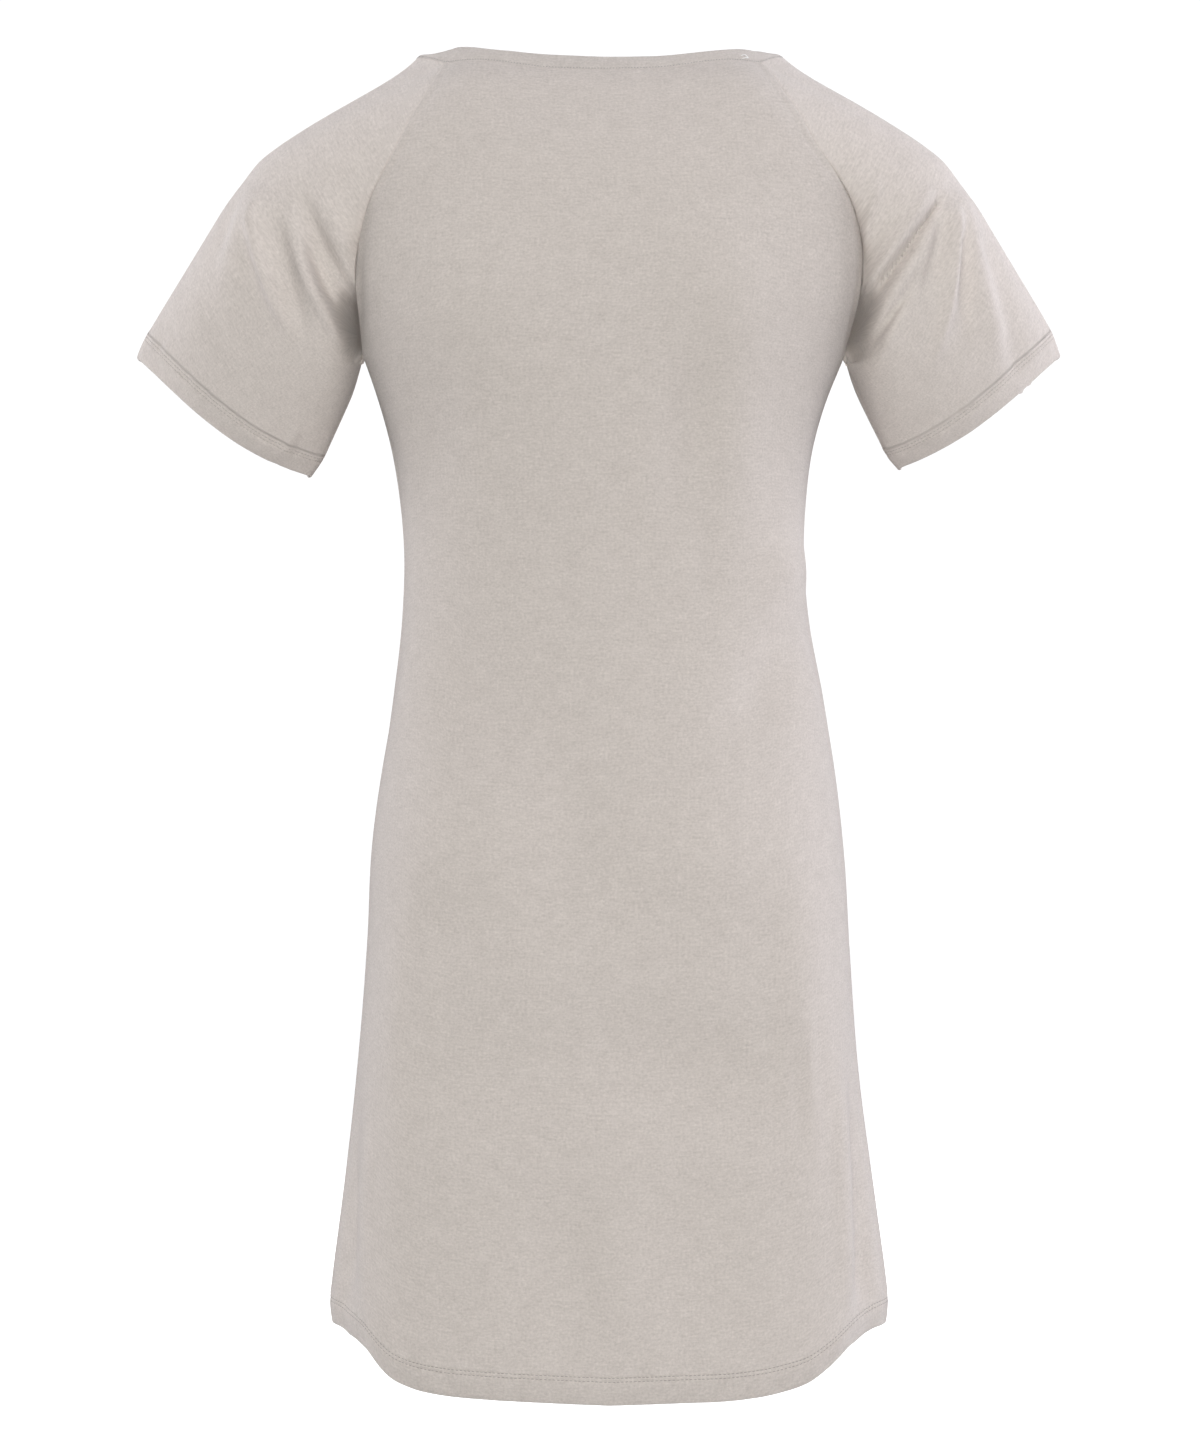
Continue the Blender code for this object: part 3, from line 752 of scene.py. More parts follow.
@dataclass(frozen=True)
class RaglanSeams:
    """The lines where the sleeves join the body, and the cut of the neck."""

    STEPS = 50
    SHOULDER_STEPS = 41

    neck_top: float = 0.0058
    neck_arch: float = 1.5
    shoulder_ease: float = 0.0020
    shoulder_corner: float = 6.0
    ease_share: float = 8 / 18
    valley_depth: float = 0.0060
    valley_reach: float = 0.013
    pocket_depth: float = 0.0100
    pocket_reach: float = 0.0055
    valley_opens: tuple[float, float] = (0.36, 0.72)
    valley_closes: tuple[float, float] = (1.0, 0.88)
    pocket_opens: tuple[float, float] = (0.72, 0.86)
    pocket_closes: tuple[float, float] = (1.0, 0.955)
    panel_reach: tuple[float, float] = (0.40, 0.90)
    panel_widens: tuple[float, float] = (0.60, 0.85)
    soft_top: float = 0.40
    soft_fades: tuple[float, float] = (0.15, 0.50)
    neckline: Table = table(
        "share back front ease_back",
        (0.00, 0.0293, 0.1080, 0.0),
        (0.25, 0.0287, 0.1025, 0.0),
        (0.50, 0.0267, 0.0850, 0.0003),
        (0.65, 0.0240, 0.0705, 0.0025),
        (0.75, 0.0219, 0.0595, 0.0043),
        (0.90, 0.0188, 0.0425, 0.0047),
        (1.00, 0.0175, 0.0310, 0.0),
    )
    back: Table = table(
        "share down left right",
        (0.0, 0.0175, 18.0, 18.0),
        (0.1, 0.0365, 25.4, 24.8),
        (0.2, 0.0560, 27.4, 26.4),
        (0.3, 0.0765, 27.4, 26.0),
        (0.4, 0.0955, 25.6, 22.6),
        (0.5, 0.1145, 22.6, 18.4),
        (0.6, 0.1350, 20.2, 15.0),
        (0.7, 0.1580, 18.0, 13.1),
        (0.8, 0.1790, 15.0, 10.6),
        (0.9, 0.1960, 8.8, 6.2),
        (1.0, 0.2050, 0.0, 0.0),
    )
    front: Table = table(
        "share down left right",
        (0.0, 0.0310, 23.0, 23.0),
        (0.1, 0.0475, 25.5, 25.0),
        (0.2, 0.0645, 27.5, 27.0),
        (0.3, 0.0825, 29.0, 28.5),
        (0.4, 0.1005, 29.5, 29.0),
        (0.5, 0.1190, 28.5, 28.0),
        (0.6, 0.1385, 26.5, 26.0),
        (0.7, 0.1595, 23.0, 22.5),
        (0.8, 0.1800, 17.5, 17.0),
        (0.9, 0.1965, 10.0, 9.5),
        (1.0, 0.2050, 0.0, 0.0),
    )

    def shares(self) -> Array:
        """Where points lie along a raglan seam, from 0 at the neck to 1 at the underarm."""
        near = np.array([0.0, 0.0020, 0.0050, 0.0100, 0.0170])
        far = np.array([0.0, 0.0015, 0.0040, 0.0080, 0.0150])
        return spaced(np.array([1.0]), near, far, self.STEPS)[0]

    def line(self, face: Face, side: Side, share: Array) -> tuple[Array, Array]:
        """Turns and depths of a raglan seam.

        Args:
            face: The panel that it borders.
            side: The sleeve that it borders.
            share: How far along it, from the neck to the underarm.

        Returns:
            The turns and the depths.
        """
        seam = self.back if face is Face.BACK else self.front
        down = seam.at("down", share)
        if side is Side.LEFT:
            return face.value * seam.at("left", share), down
        return face.value * (180 - seam.at("right", share)), down

    def valley(self, share: Array, from_seam: Array, reach: Array | float = 1.0) -> Array:
        """How deep the cloth on both sides of a raglan seam falls towards it.

        Args:
            share: How far along the seam the points are.
            from_seam: How far they are from it.
            reach: How far out the fall begins, as a share of the sleeve's.

        Returns:
            The depth, pressed straight in from the back or the front.
        """
        near = np.exp(-((from_seam / (reach * self.valley_reach)) ** 2))
        close = np.exp(-from_seam / (reach * self.pocket_reach))
        broad = self.valley_depth * ease(*self.valley_opens, share) * ease(*self.valley_closes, share)
        deep = self.pocket_depth * ease(*self.pocket_opens, share) * ease(*self.pocket_closes, share)
        return broad * near + deep * close

    def panel_valley(self, share: Array, from_seam: Array) -> Array:
        """How deep a panel falls towards the seam, over a shorter way than the sleeve."""
        upper, lower = self.panel_reach
        reach = upper + (lower - upper) * ease(*self.panel_widens, share)
        return self.valley(share, from_seam, reach)

    def sharpness(self, share: Array) -> Array:
        """How crisp a raglan seam is along its length."""
        return self.soft_top + (1 - self.soft_top) * ease(*self.soft_fades, share)

    def shoulder_edge(self, form: BodyForm, side: Side) -> tuple[Array, Array]:
        """A sleeve's short edge at the neck, from the back raglan seam to the front one.

        Args:
            form: The body.
            side: The sleeve.

        Returns:
            The points and the directions out of the body.
        """
        back, front = self.back.rows[0], self.front.rows[0]
        turn = np.linspace(back[2], -front[2], self.SHOULDER_STEPS)
        reach = abs(turn) / np.where(turn > 0, back[2], front[2])
        lowest = np.where(turn > 0, back[1], front[1])
        down = self.neck_top + (lowest - self.neck_top) * reach**self.neck_arch
        turn = turn if side is Side.LEFT else 180 - turn
        points = form.points(turn, down)
        points[:, 0] += side.value * self.shoulder_ease * (1 - reach**self.shoulder_corner)
        return points, form.normals(turn, down)


@dataclass
class PanelRows:
    """The rows of a panel from the neck to the hem, with one value of each for every row.

    Middle and side are depths, and left and right are the turns of its edges. Share is
    the place along the raglan seam, which is 1 below the underarm.
    """

    middle: Array
    side: Array
    left: Array
    right: Array
    share: Array
    from_hem: Array


@dataclass(frozen=True)
class DressPanel:
    """The front or the back, cut in one piece from the neck to the hem."""

    DENSE = 361

    face: Face
    node: str
    name: str
    hem: float
    folds: tuple[Crease, ...]
    creases: tuple[Crease, ...]
    swells: tuple[Swell, ...]
    seed: int
    hem_side: float = 0.8435
    pinch: float = 0.0060
    pinch_at: float = 0.024
    pinch_reach: float = 0.013
    pinch_from: float = 0.60
    side_calm: float = 0.022
    hem_calm: float = 0.05
    neck_blend: float = 6.0 * MM
    map_shift: float = 0.9
    lift: Table = table(
        "share left right",
        (0.00, 0.00, 0.00),
        (0.20, 0.08, 0.06),
        (0.35, 0.13, 0.10),
        (0.45, 0.18, 0.24),
        (0.52, 0.30, 0.46),
        (0.57, 0.52, 0.80),
        (0.61, 0.88, 1.10),
        (0.64, 1.16, 1.26),
        (0.67, 1.27, 1.34),
        (0.71, 1.35, 1.45),
        (0.75, 1.45, 1.52),
        (0.80, 1.47, 1.50),
        (0.85, 1.40, 1.42),
        (0.90, 1.22, 1.26),
        (0.95, 1.09, 1.12),
        (1.00, 1.00, 1.00),
    )
    columns: int = 128
    skirt_rows: int = 148
    sewing: Sewing = Sewing()
    form: BodyForm = BodyForm()
    seams: RaglanSeams = RaglanSeams()

    def rows(self) -> PanelRows:
        """The panel's rows."""
        yoke = self.seams.shares()
        left, yoke_side = self.seams.line(self.face, Side.LEFT, yoke)
        right, _ = self.seams.line(self.face, Side.RIGHT, yoke)
        neck = self.seams.neckline.at(self.face.name.lower(), 0.0)
        underarm = self.form.underarm
        long, side_long = self.hem - underarm, self.hem_side - underarm
        from_hem = self.sewing.hem_rows(self.sewing.body)
        skirt = spaced(np.array([long]), np.array([0.0]), from_hem, self.skirt_rows)[0][1:]
        below = np.ones(len(skirt))
        return PanelRows(
            middle=np.concatenate([neck + (underarm - neck) * yoke, underarm + skirt]),
            side=np.concatenate([yoke_side, underarm + skirt / long * side_long]),
            left=np.concatenate([left, 0 * below]),
            right=np.concatenate([right, self.face.value * 180 * below]),
            share=np.concatenate([yoke, below]),
            from_hem=np.concatenate([np.ones(len(yoke)), long - skirt]),
        )

    def surface(self) -> tuple[Array, Array, Array]:
        """The panel's outer points as it hangs, with its main folds.

        Returns:
            The points, the directions out of the body, and for each point its distance
            from the side edge beside it.
        """
        rows = self.rows()
        dense = np.broadcast_to(np.linspace(-1.0, 1.0, self.DENSE), (len(rows.share), self.DENSE))
        length = lengths_along(self.points_at(dense, rows)[0], axis=1)
        edges = np.array(self.sewing.seam_columns)
        wanted = spaced(length[:, -1], edges, edges, self.columns)
        across = np.stack([np.interp(w, have, dense[0]) for w, have in zip(wanted, length)])
        across[:, 0], across[:, -1] = -1.0, 1.0
        points, normals = self.points_at(across, rows)
        from_seam = np.minimum(
            np.linalg.norm(points - points[:, :1], axis=-1),
            np.linalg.norm(points - points[:, -1:], axis=-1),
        )
        points = pressed(points, normals, self.folds, from_seam)
        fall = self.seams.panel_valley(rows.share[:, None], from_seam)
        points[..., 1] -= self.face.value * fall
        down = -points[..., 2]
        pinch = self.pinch * np.exp(-(((from_seam - self.pinch_at) / self.pinch_reach) ** 2))
        points -= normals * (pinch * ease(self.pinch_from, self.hem_side, down))[..., None]
        calm = ease(0.0, self.side_calm, from_seam)
        calm = calm * ease(0.0, self.hem_calm, rows.from_hem)[:, None]
        for swell in self.swells:
            points += normals * (swell.height_at(points) * calm)[..., None]
        return points, normals, from_seam

    def points_at(self, across: Array, rows: PanelRows) -> tuple[Array, Array]:
        """Points of the panel before its folds.

        Args:
            across: For each row, places from -1 at the right edge to 1 at the left one.
            rows: The rows.

        Returns:
            The points and the directions out of the body.
        """
        centre, middle, share = self.face.value * 90, rows.middle[:, None], rows.share[:, None]
        edge = np.where(across < 0, rows.right[:, None], rows.left[:, None])
        reach = edge - centre
        turn = centre + reach * abs(across)
        column = self.face.name.lower()
        neck = self.seams.neckline.at(column, abs(across))
        scoop = (rows.middle[0] - neck) / (rows.middle[0] - rows.side[0])
        to_left, to_right = self.lift.at("left", abs(across)), self.lift.at("right", abs(across))
        rise = np.where(across > 0, to_left, to_right)
        down = middle + (rows.side[:, None] - middle) * np.where(share < 1, scoop, rise)
        points, normals = self.form.points(turn, down), self.form.normals(turn, down)
        if self.face is Face.BACK:
            fade = ease(self.seams.ease_share, 0.0, share)
            points[..., 1] += fade * self.seams.neckline.at("ease_back", abs(across))
        return points, normals

    def shell(self, neck: NeckLoop, ways: dict[Side, Array]) -> Shell:
        """The panel's cloth with its creases, seams and turned hem.

        Args:
            neck: The line of the neck.
            ways: The way out of the cloth that it shares with each sleeve along the
                raglan seam, from the neck to the underarm.

        Returns:
            The shell.
        """
        rows = self.rows()
        points, body_normals, from_seam = self.surface()
        normals = grid_normals(points, closed=False) * self.face.value
        points = pressed(points, normals, self.creases, from_seam)
        normals = grid_normals(points, closed=False) * self.face.value
        seam_way = body_normals[:, [0, -1]].copy()
        count = len(self.seams.shares())
        seam_way[:count, 0], seam_way[:count, 1] = ways[Side.RIGHT], ways[Side.LEFT]
        near = np.exp(-((from_seam / self.sewing.seam_blend) ** 2))[..., None]
        leftward = np.arange(points.shape[1])[:, None] >= points.shape[1] / 2
        towards = np.where(leftward, seam_way[:, 1:], seam_way[:, :1])
        normals = unit(normals * (1 - near) + towards * near)
        from_neck = np.linalg.norm(points - points[:1], axis=-1)
        near = np.exp(-((from_neck / self.neck_blend) ** 2))[..., None]
        normals = unit(normals * (1 - near) + neck.way_at(points[0]) * near)
        away = rows.from_hem[:, None]
        dip = self.sewing.seam_dip(from_seam, True) * self.seams.sharpness(rows.share)[:, None]
        points = self.sewing.rumpled(points, normals, away)
        outer, inner = self.sewing.walls(points, normals, away, dip, self.sewing.body, self.seed)
        for grid in (outer, inner):
            grid[:, 0] += unit(grid[:, 1] - grid[:, 0]) * self.sewing.gap
            grid[:, -1] += unit(grid[:, -2] - grid[:, -1]) * self.sewing.gap
        width = lengths_along(points, axis=1)
        width = width - width[:, -1:] / 2
        down = lengths_along(points, axis=0)[:, points.shape[1] // 2][:, None] + 0 * width
        grain = np.stack([width, down], axis=-1) + self.map_shift * self.seed
        edge = np.stack([width, np.broadcast_to(away, width.shape)], axis=-1)
        turned = self.face is Face.BACK
        return Shell(self.name, self.node, outer, inner, normals, grain, edge, False, turned)


@dataclass(frozen=True)
class SleeveRing:
    """A ring round a sleeve, by its top and underarm points and half its depth.

    Its lean pushes the ring's back half down the arm.
    """

    POINT_POWER = 2.4

    top_x: float
    top_down: float
    under_x: float
    under_down: float
    forward: float
    half_width: float
    lean: float
    pointed: float = 0.0
    droop: float = 0.55

    def points(self, side: Side, angle: Array) -> Array:
        """Points of the ring, by angle in degrees from its top towards the back."""
        top = np.array([side.value * self.top_x, -self.forward, -self.top_down])
        under = np.array([side.value * self.under_x, -self.forward, -self.under_down])
        middle, half = (top + under) / 2, (top - under) / 2
        out_of_cuff = unit(np.array([side.value * abs(half[2]), 0.0, -abs(half[0])]))
        cosine, sine = np.cos(np.radians(angle)), np.sin(np.radians(angle))
        flat = sine * (1 - self.pointed * cosine**2)
        bulge = sine * abs(sine) ** (self.POINT_POWER * self.pointed)
        bulge *= self.lean * (1 - self.droop * cosine)
        across = np.outer(flat, [0.0, 1.0, 0.0]) + np.outer(bulge, out_of_cuff)
        return middle + cosine[:, None] * half + self.half_width * across


@dataclass(frozen=True)
class RaglanSleeve:
    """A short sleeve in one piece, joined along the raglan seams and at the neck."""

    DENSE = 121

    side: Side
    node: str
    name: str
    shoulder: SleeveRing
    cuff: SleeveRing
    folds: tuple[Crease, ...]
    creases: tuple[Crease, ...]
    seed: int
    seam_pull: float = 1.0
    shoulder_hollow: float = 0.0036
    shoulder_pull: float = 0.40
    shoulder_drop: float = 0.50
    neck_half_angle: float = 30.0
    underarm_spread: float = 0.8
    smooth_share: float = 0.55
    raglan_opens: float = 0.03
    map_start: Triple = (0.080, 0.0, -0.140)
    map_end: Triple = (0.262, -0.030, -0.241)
    map_radius: float = 0.078
    cuff_radius: float = 0.05
    map_shift: float = 0.9
    rows: int = 74
    sewing: Sewing = Sewing()
    form: BodyForm = BodyForm()
    seams: RaglanSeams = RaglanSeams()

    def armhole(self) -> tuple[Array, Array, Array, Array]:
        """The seam round the sleeve's top, from the underarm up the back, over the neck
        and down the front.

        Returns:
            Its points, the directions out of the body, its shares along the raglan
            seams, and each point's angle round the sleeve.
        """
        share = self.seams.shares()
        back_turn, back_down = self.seams.line(Face.BACK, self.side, share)
        front_turn, front_down = self.seams.line(Face.FRONT, self.side, share)
        neck, neck_normals = self.seams.shoulder_edge(self.form, self.side)
        points = [self.form.points(back_turn, back_down)[::-1], neck[1:-1],
                  self.form.points(front_turn, front_down)[:-1]]
        normals = [self.form.normals(back_turn, back_down)[::-1], neck_normals[1:-1],
                   self.form.normals(front_turn, front_down)[:-1]]
        rise = 180.0 + (self.neck_half_angle - 180.0) * (1 - share) ** self.underarm_spread
        over = np.linspace(self.neck_half_angle, -self.neck_half_angle, len(neck))[1:-1]
        angle = np.concatenate([rise[::-1], over, -rise[:-1]])
        shares = np.concatenate([share[::-1], np.zeros(len(over)), share[:-1]])
        return np.concatenate(points), np.concatenate(normals), shares, angle

    def surface(self) -> tuple[Array, Array, Array]:
        """The sleeve's outer points as it hangs, with its main folds.

        Returns:
            The points, and each point's distance from the armhole seam and the cuff.
        """
        seam, seam_normal, share, angle = self.armhole()
        shoulder, cuff = self.shoulder.points(self.side, angle), self.cuff.points(self.side, angle)
        chord = shoulder - seam
        length = np.linalg.norm(chord, axis=-1, keepdims=True)
        flush = square_to(chord, seam_normal)
        smooth = ease(1.0, self.smooth_share, share)[:, None]
        leave = unit(unit(chord) * (1 - smooth) + flush * smooth) * length * self.seam_pull
        arm = cuff - shoulder
        bend = unit(unit(chord) * (1 - self.shoulder_drop) + unit(arm) * self.shoulder_drop)
        long_arm = np.linalg.norm(arm, axis=-1, keepdims=True)
        lower = np.linspace(0.0, 1.0, self.DENSE)[:, None, None]
        upper = lower[:-1]
        turn = bend * length * self.shoulder_pull
        upper_rows = hermite(seam, leave, shoulder, turn, upper)
        on_top = np.clip(np.cos(np.radians(angle)), 0.0, 1.0)[:, None] ** 2
        upper_rows[..., 2:] -= self.shoulder_hollow * on_top * np.sin(np.pi * upper**0.5) ** 2
        lower_rows = hermite(shoulder, bend * long_arm * self.shoulder_pull, cuff, arm, lower)
        dense = np.concatenate([upper_rows, lower_rows])
        covered = lengths_along(dense)
        edges = np.array(self.sewing.seam_columns)
        hem = self.sewing.hem_rows(self.sewing.cuff)
        wanted = spaced(covered[-1], edges, hem, self.rows)
        points = np.empty((wanted.shape[1], len(seam), 3))
        for column in range(len(seam)):
            points[:, column] = along_line(dense[:, column], covered[:, column], wanted[column])
        normals = grid_normals(points, closed=True) * self.side.value
        from_seam = np.linalg.norm(points - points[:1], axis=-1)
        points = pressed(points, normals, self.folds, from_seam)
        points[..., 1] -= np.sign(angle) * self.seams.valley(share, from_seam)
        from_hem = (covered[-1][:, None] - wanted).T
        return points, from_seam, from_hem

    def seam_ways(self, neck: NeckLoop) -> Array:
        """The way out of the cloth that the sleeve shares with its neighbours."""
        points, _, _ = self.surface()
        _, body, share, _ = self.armhole()
        normals = grid_normals(points, closed=True)[0] * self.side.value
        both = unit(normals + body)
        on_neck = (share == 0.0)[:, None]
        return np.where(on_neck, neck.way_at(points[0]), both)

    def ways_for(self, face: Face, ways: Array) -> Array:
        """The part of the shared ways along one panel, from the neck to the underarm."""
        count = len(self.seams.shares())
        if face is Face.BACK:
            return ways[:count][::-1]
        return np.concatenate([ways[-(count - 1):], ways[:1]])

    def shell(self, ways: Array) -> Shell:
        """The sleeve's cloth with its creases, seams and turned cuff.

        Args:
            ways: The way out of the cloth along the armhole seam.

        Returns:
            The shell.
        """
        points, from_seam, from_hem = self.surface()
        _, _, share, _ = self.armhole()
        normals = grid_normals(points, closed=True) * self.side.value
        points = pressed(points, normals, self.creases, from_seam)
        normals = grid_normals(points, closed=True) * self.side.value
        near = np.exp(-((from_seam / self.sewing.seam_blend) ** 2))[..., None]
        normals = unit(normals * (1 - near) + ways * near)
        points = self.sewing.rumpled(points, normals, from_hem)
        from_under = np.linalg.norm(points - points[:, :1], axis=-1)
        raglan = ease(0.0, self.raglan_opens, share) * self.seams.sharpness(share)
        dip = self.sewing.seam_dip(from_seam, False) * raglan
        dip = dip + self.sewing.seam_dip(from_under, False)
        outer, inner = self.sewing.walls(points, normals, from_hem, dip, self.sewing.cuff, self.seed)
        for grid in (outer, inner):
            grid[0] += unit(grid[1] - grid[0]) * self.sewing.gap
        grain, edge = self.maps(points, from_hem)
        turned = self.side is Side.LEFT
        return Shell(self.name, self.node, outer, inner, normals, grain, edge, True, turned)

    def maps(self, points: Array, from_hem: Array) -> tuple[Array, Array]:
        """Where each point lies on the flat cloth, and along its cuff.

        Args:
            points: The sleeve's points.
            from_hem: Their distance from the cuff's edge.

        Returns:
            The grain map and the edge map, with the first column again at their end.
        """
        mirror = np.array([self.side.value, 1.0, 1.0])
        start = self.map_start * mirror
        along = unit(self.map_end * mirror - start)
        back = unit(np.array([0.0, 1.0, 0.0]) - along[1] * along)
        up = np.cross(back, along) * -self.side.value
        wrapped = np.concatenate([points, points[:, :1]], axis=1) - start
        turn = np.unwrap(np.arctan2(wrapped @ back, wrapped @ up), axis=1)
        grain = np.stack([turn * self.map_radius, wrapped @ along], axis=-1)
        away = np.concatenate([from_hem, from_hem[:, :1]], axis=1)
        edge = np.stack([turn * self.cuff_radius, away], axis=-1)
        return grain + self.map_shift * self.seed, edge


@dataclass
class NeckLoop:
    """The closed line where the binding meets the dress, and the ways out of it and up."""

    COUNT = 400
    UPRIGHT = 1.3
    EVENED_OUTWARD = 300
    EVENED_LINE = 8
    EVENED_UP = 160

    points: Array
    outward: Array
    up: Array

    @classmethod
    def around(cls, panels: tuple[DressPanel, ...], seams: RaglanSeams, form: BodyForm) -> NeckLoop:
        """Follows the neck round from the right raglan seam by the back.

        Args:
            panels: The back and the front.
            seams: The lines of the raglan seams.
            form: The body.

        Returns:
            The line.
        """
        line, outward = [], []
        for panel, side in zip(panels, (Side.LEFT, Side.RIGHT)):
            points, normals, _ = panel.surface()
            edge, edge_normals = seams.shoulder_edge(form, side)
            way = panel.face.value
            line += [points[0][::way][:-1], edge[::way][:-1]]
            outward += [normals[0][::way][:-1], edge_normals[::way][:-1]]
        line, outward = joined(np.concatenate(line)), joined(np.concatenate(outward))
        covered = lengths_along(line)
        at = np.linspace(0.0, covered[-1], cls.COUNT, endpoint=False)
        outward = evened_ways(along_line(outward, covered, at), cls.EVENED_OUTWARD)
        line = evened(along_line(line, covered, at), cls.EVENED_LINE)
        tangent = unit(np.roll(line, -1, 0) - np.roll(line, 1, 0))
        up = unit(np.cross(tangent, outward))
        up[:, 2] += cls.UPRIGHT * np.clip(outward[:, 1], 0.0, 1.0)
        up = evened_ways(square_to(up, tangent), cls.EVENED_UP)
        up = square_to(up, tangent)
        return cls(line, unit(np.cross(up, tangent)), up)

    def way_at(self, places: Array) -> Array:
        """The way out of the cloth at the points of the line nearest to some places."""
        away = np.linalg.norm(places[:, None] - self.points[None], axis=-1)
        return self.outward[away.argmin(axis=1)]


@dataclass(frozen=True)
class NeckBinding:
    """The narrow strip of doubled cloth folded over the neck edge."""

    height: float = 9.8 * MM
    below: float = 0.9 * MM
    proud: float = 0.45 * MM
    wall: float = 2.8 * MM
    stitch_rise: float = 0.25 * MM
    fine_puff: float = 0.07 * MM
    slack_puff: float = 0.13 * MM
    front_share: tuple[float, float] = (0.70, 0.26)
    evened_height: int = 16
    heights: Table = table(
        "aside share",
        (-0.118, 0.40),
        (-0.112, 0.40),
        (-0.106, 0.90),
        (-0.100, 1.18),
        (-0.092, 1.14),
        (-0.080, 0.93),
        (-0.065, 0.90),
        (-0.040, 1.00),
        (0.000, 1.05),
        (0.040, 1.13),
        (0.065, 1.02),
        (0.080, 1.00),
        (0.092, 1.22),
        (0.100, 1.40),
        (0.106, 1.42),
        (0.112, 0.75),
        (0.118, 0.30),
    )

    def profile(self) -> Array:
        """The section round the binding: how far up and how far out each point is."""
        top, inside = self.height, self.proud - self.wall
        return np.array([
            (-self.below, 0.06 * MM),
            (-self.below, 0.22 * MM),
            (-self.below + 0.35 * MM, self.proud - 0.08 * MM),
            (self.stitch_rise, self.proud - 0.26 * MM),
            (self.stitch_rise + 0.9 * MM, self.proud - 0.02 * MM),
            (top * 0.36, self.proud + 0.16 * MM),
            (top * 0.60, self.proud + 0.14 * MM),
            (top * 0.82, self.proud - 0.05 * MM),
            (top * 0.94, self.proud - 0.42 * MM),
            (top, self.proud - 1.05 * MM),
            (top - 0.1 * MM, inside + 0.75 * MM),
            (top * 0.93, inside + 0.28 * MM),
            (top * 0.80, inside + 0.05 * MM),
            (top * 0.45, inside),
            (0.4 * MM, inside),
            (-self.below - 0.1 * MM, inside + 0.1 * MM),
            (-self.below - 0.1 * MM, -1.68 * MM),
            (0.1 * MM, -1.66 * MM),
            (0.1 * MM, 0.06 * MM),
        ])

    def build(self, neck: NeckLoop, material: Material) -> Piece:
        """Makes the binding in place of its solid.

        Args:
            neck: The line of the neck.
            material: The binding's material.

        Returns:
            The piece.
        """
        fine = rumple(neck.points, (0.005, 0.005, 0.005), 71)
        slack = rumple(neck.points, (0.020, 0.020, 0.020), 72)
        rings = []
        for rise, out in self.profile():
            puff = 0.0
            if out > 0.3 * MM and rise > -0.5 * MM:
                puff = self.fine_puff * fine + self.slack_puff * slack
                puff = puff * min(1.0, abs(rise - self.stitch_rise) / MM)
            tall = rise * self.height_share(neck)[:, None] if rise > MM else rise
            outward = neck.outward * np.reshape(out + puff, (-1, 1))
            rings.append(neck.points + neck.up * tall + outward)
        rings = np.array(rings)
        count, around = rings.shape[:2]
        i, j = np.mgrid[0:count, 0:around]
        k, low = (j + 1) % around, (i + 1) % count
        face = np.stack([i * around + j, low * around + j, low * around + k, i * around + k], -1)
        mesh = bpy.data.meshes.new("binding")
        mesh.from_pydata(rings.reshape(-1, 3).tolist(), [], face.reshape(-1, 4).tolist())
        along = lengths_along(neck.points)
        along = np.append(along, along[-1] + along[1])
        up = lengths_along(np.concatenate([rings[:, 0], rings[:1, 0]]))
        u = along[np.stack([j, j, j + 1, j + 1], -1)]
        v = up[np.stack([i, i + 1, i + 1, i], -1)]
        for map_name in ("grain", "edge"):
            add_map(mesh, map_name, np.stack([u, v], axis=-1))
        piece = add_piece("neck_band", mesh, material)
        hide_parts("neck_binding")
        return piece

    def height_share(self, neck: NeckLoop) -> Array:
        """How tall the binding stands round the neck, as a share of its height."""
        at_back = self.heights.at("share", neck.points[:, 0])
        least, more = self.front_share
        at_front = least + more * np.clip(-neck.outward[:, 1], 0.0, 1.0)
        share = np.where(neck.points[:, 1] > 0, at_back, at_front)
        return evened(share, self.evened_height)

    def stitch_line(self, neck: NeckLoop) -> Array:
        """Where the row of stitches runs on the binding's outer side, closed."""
        line = neck.points + neck.up * self.stitch_rise
        return joined(line + neck.outward * (self.proud - 0.16 * MM))


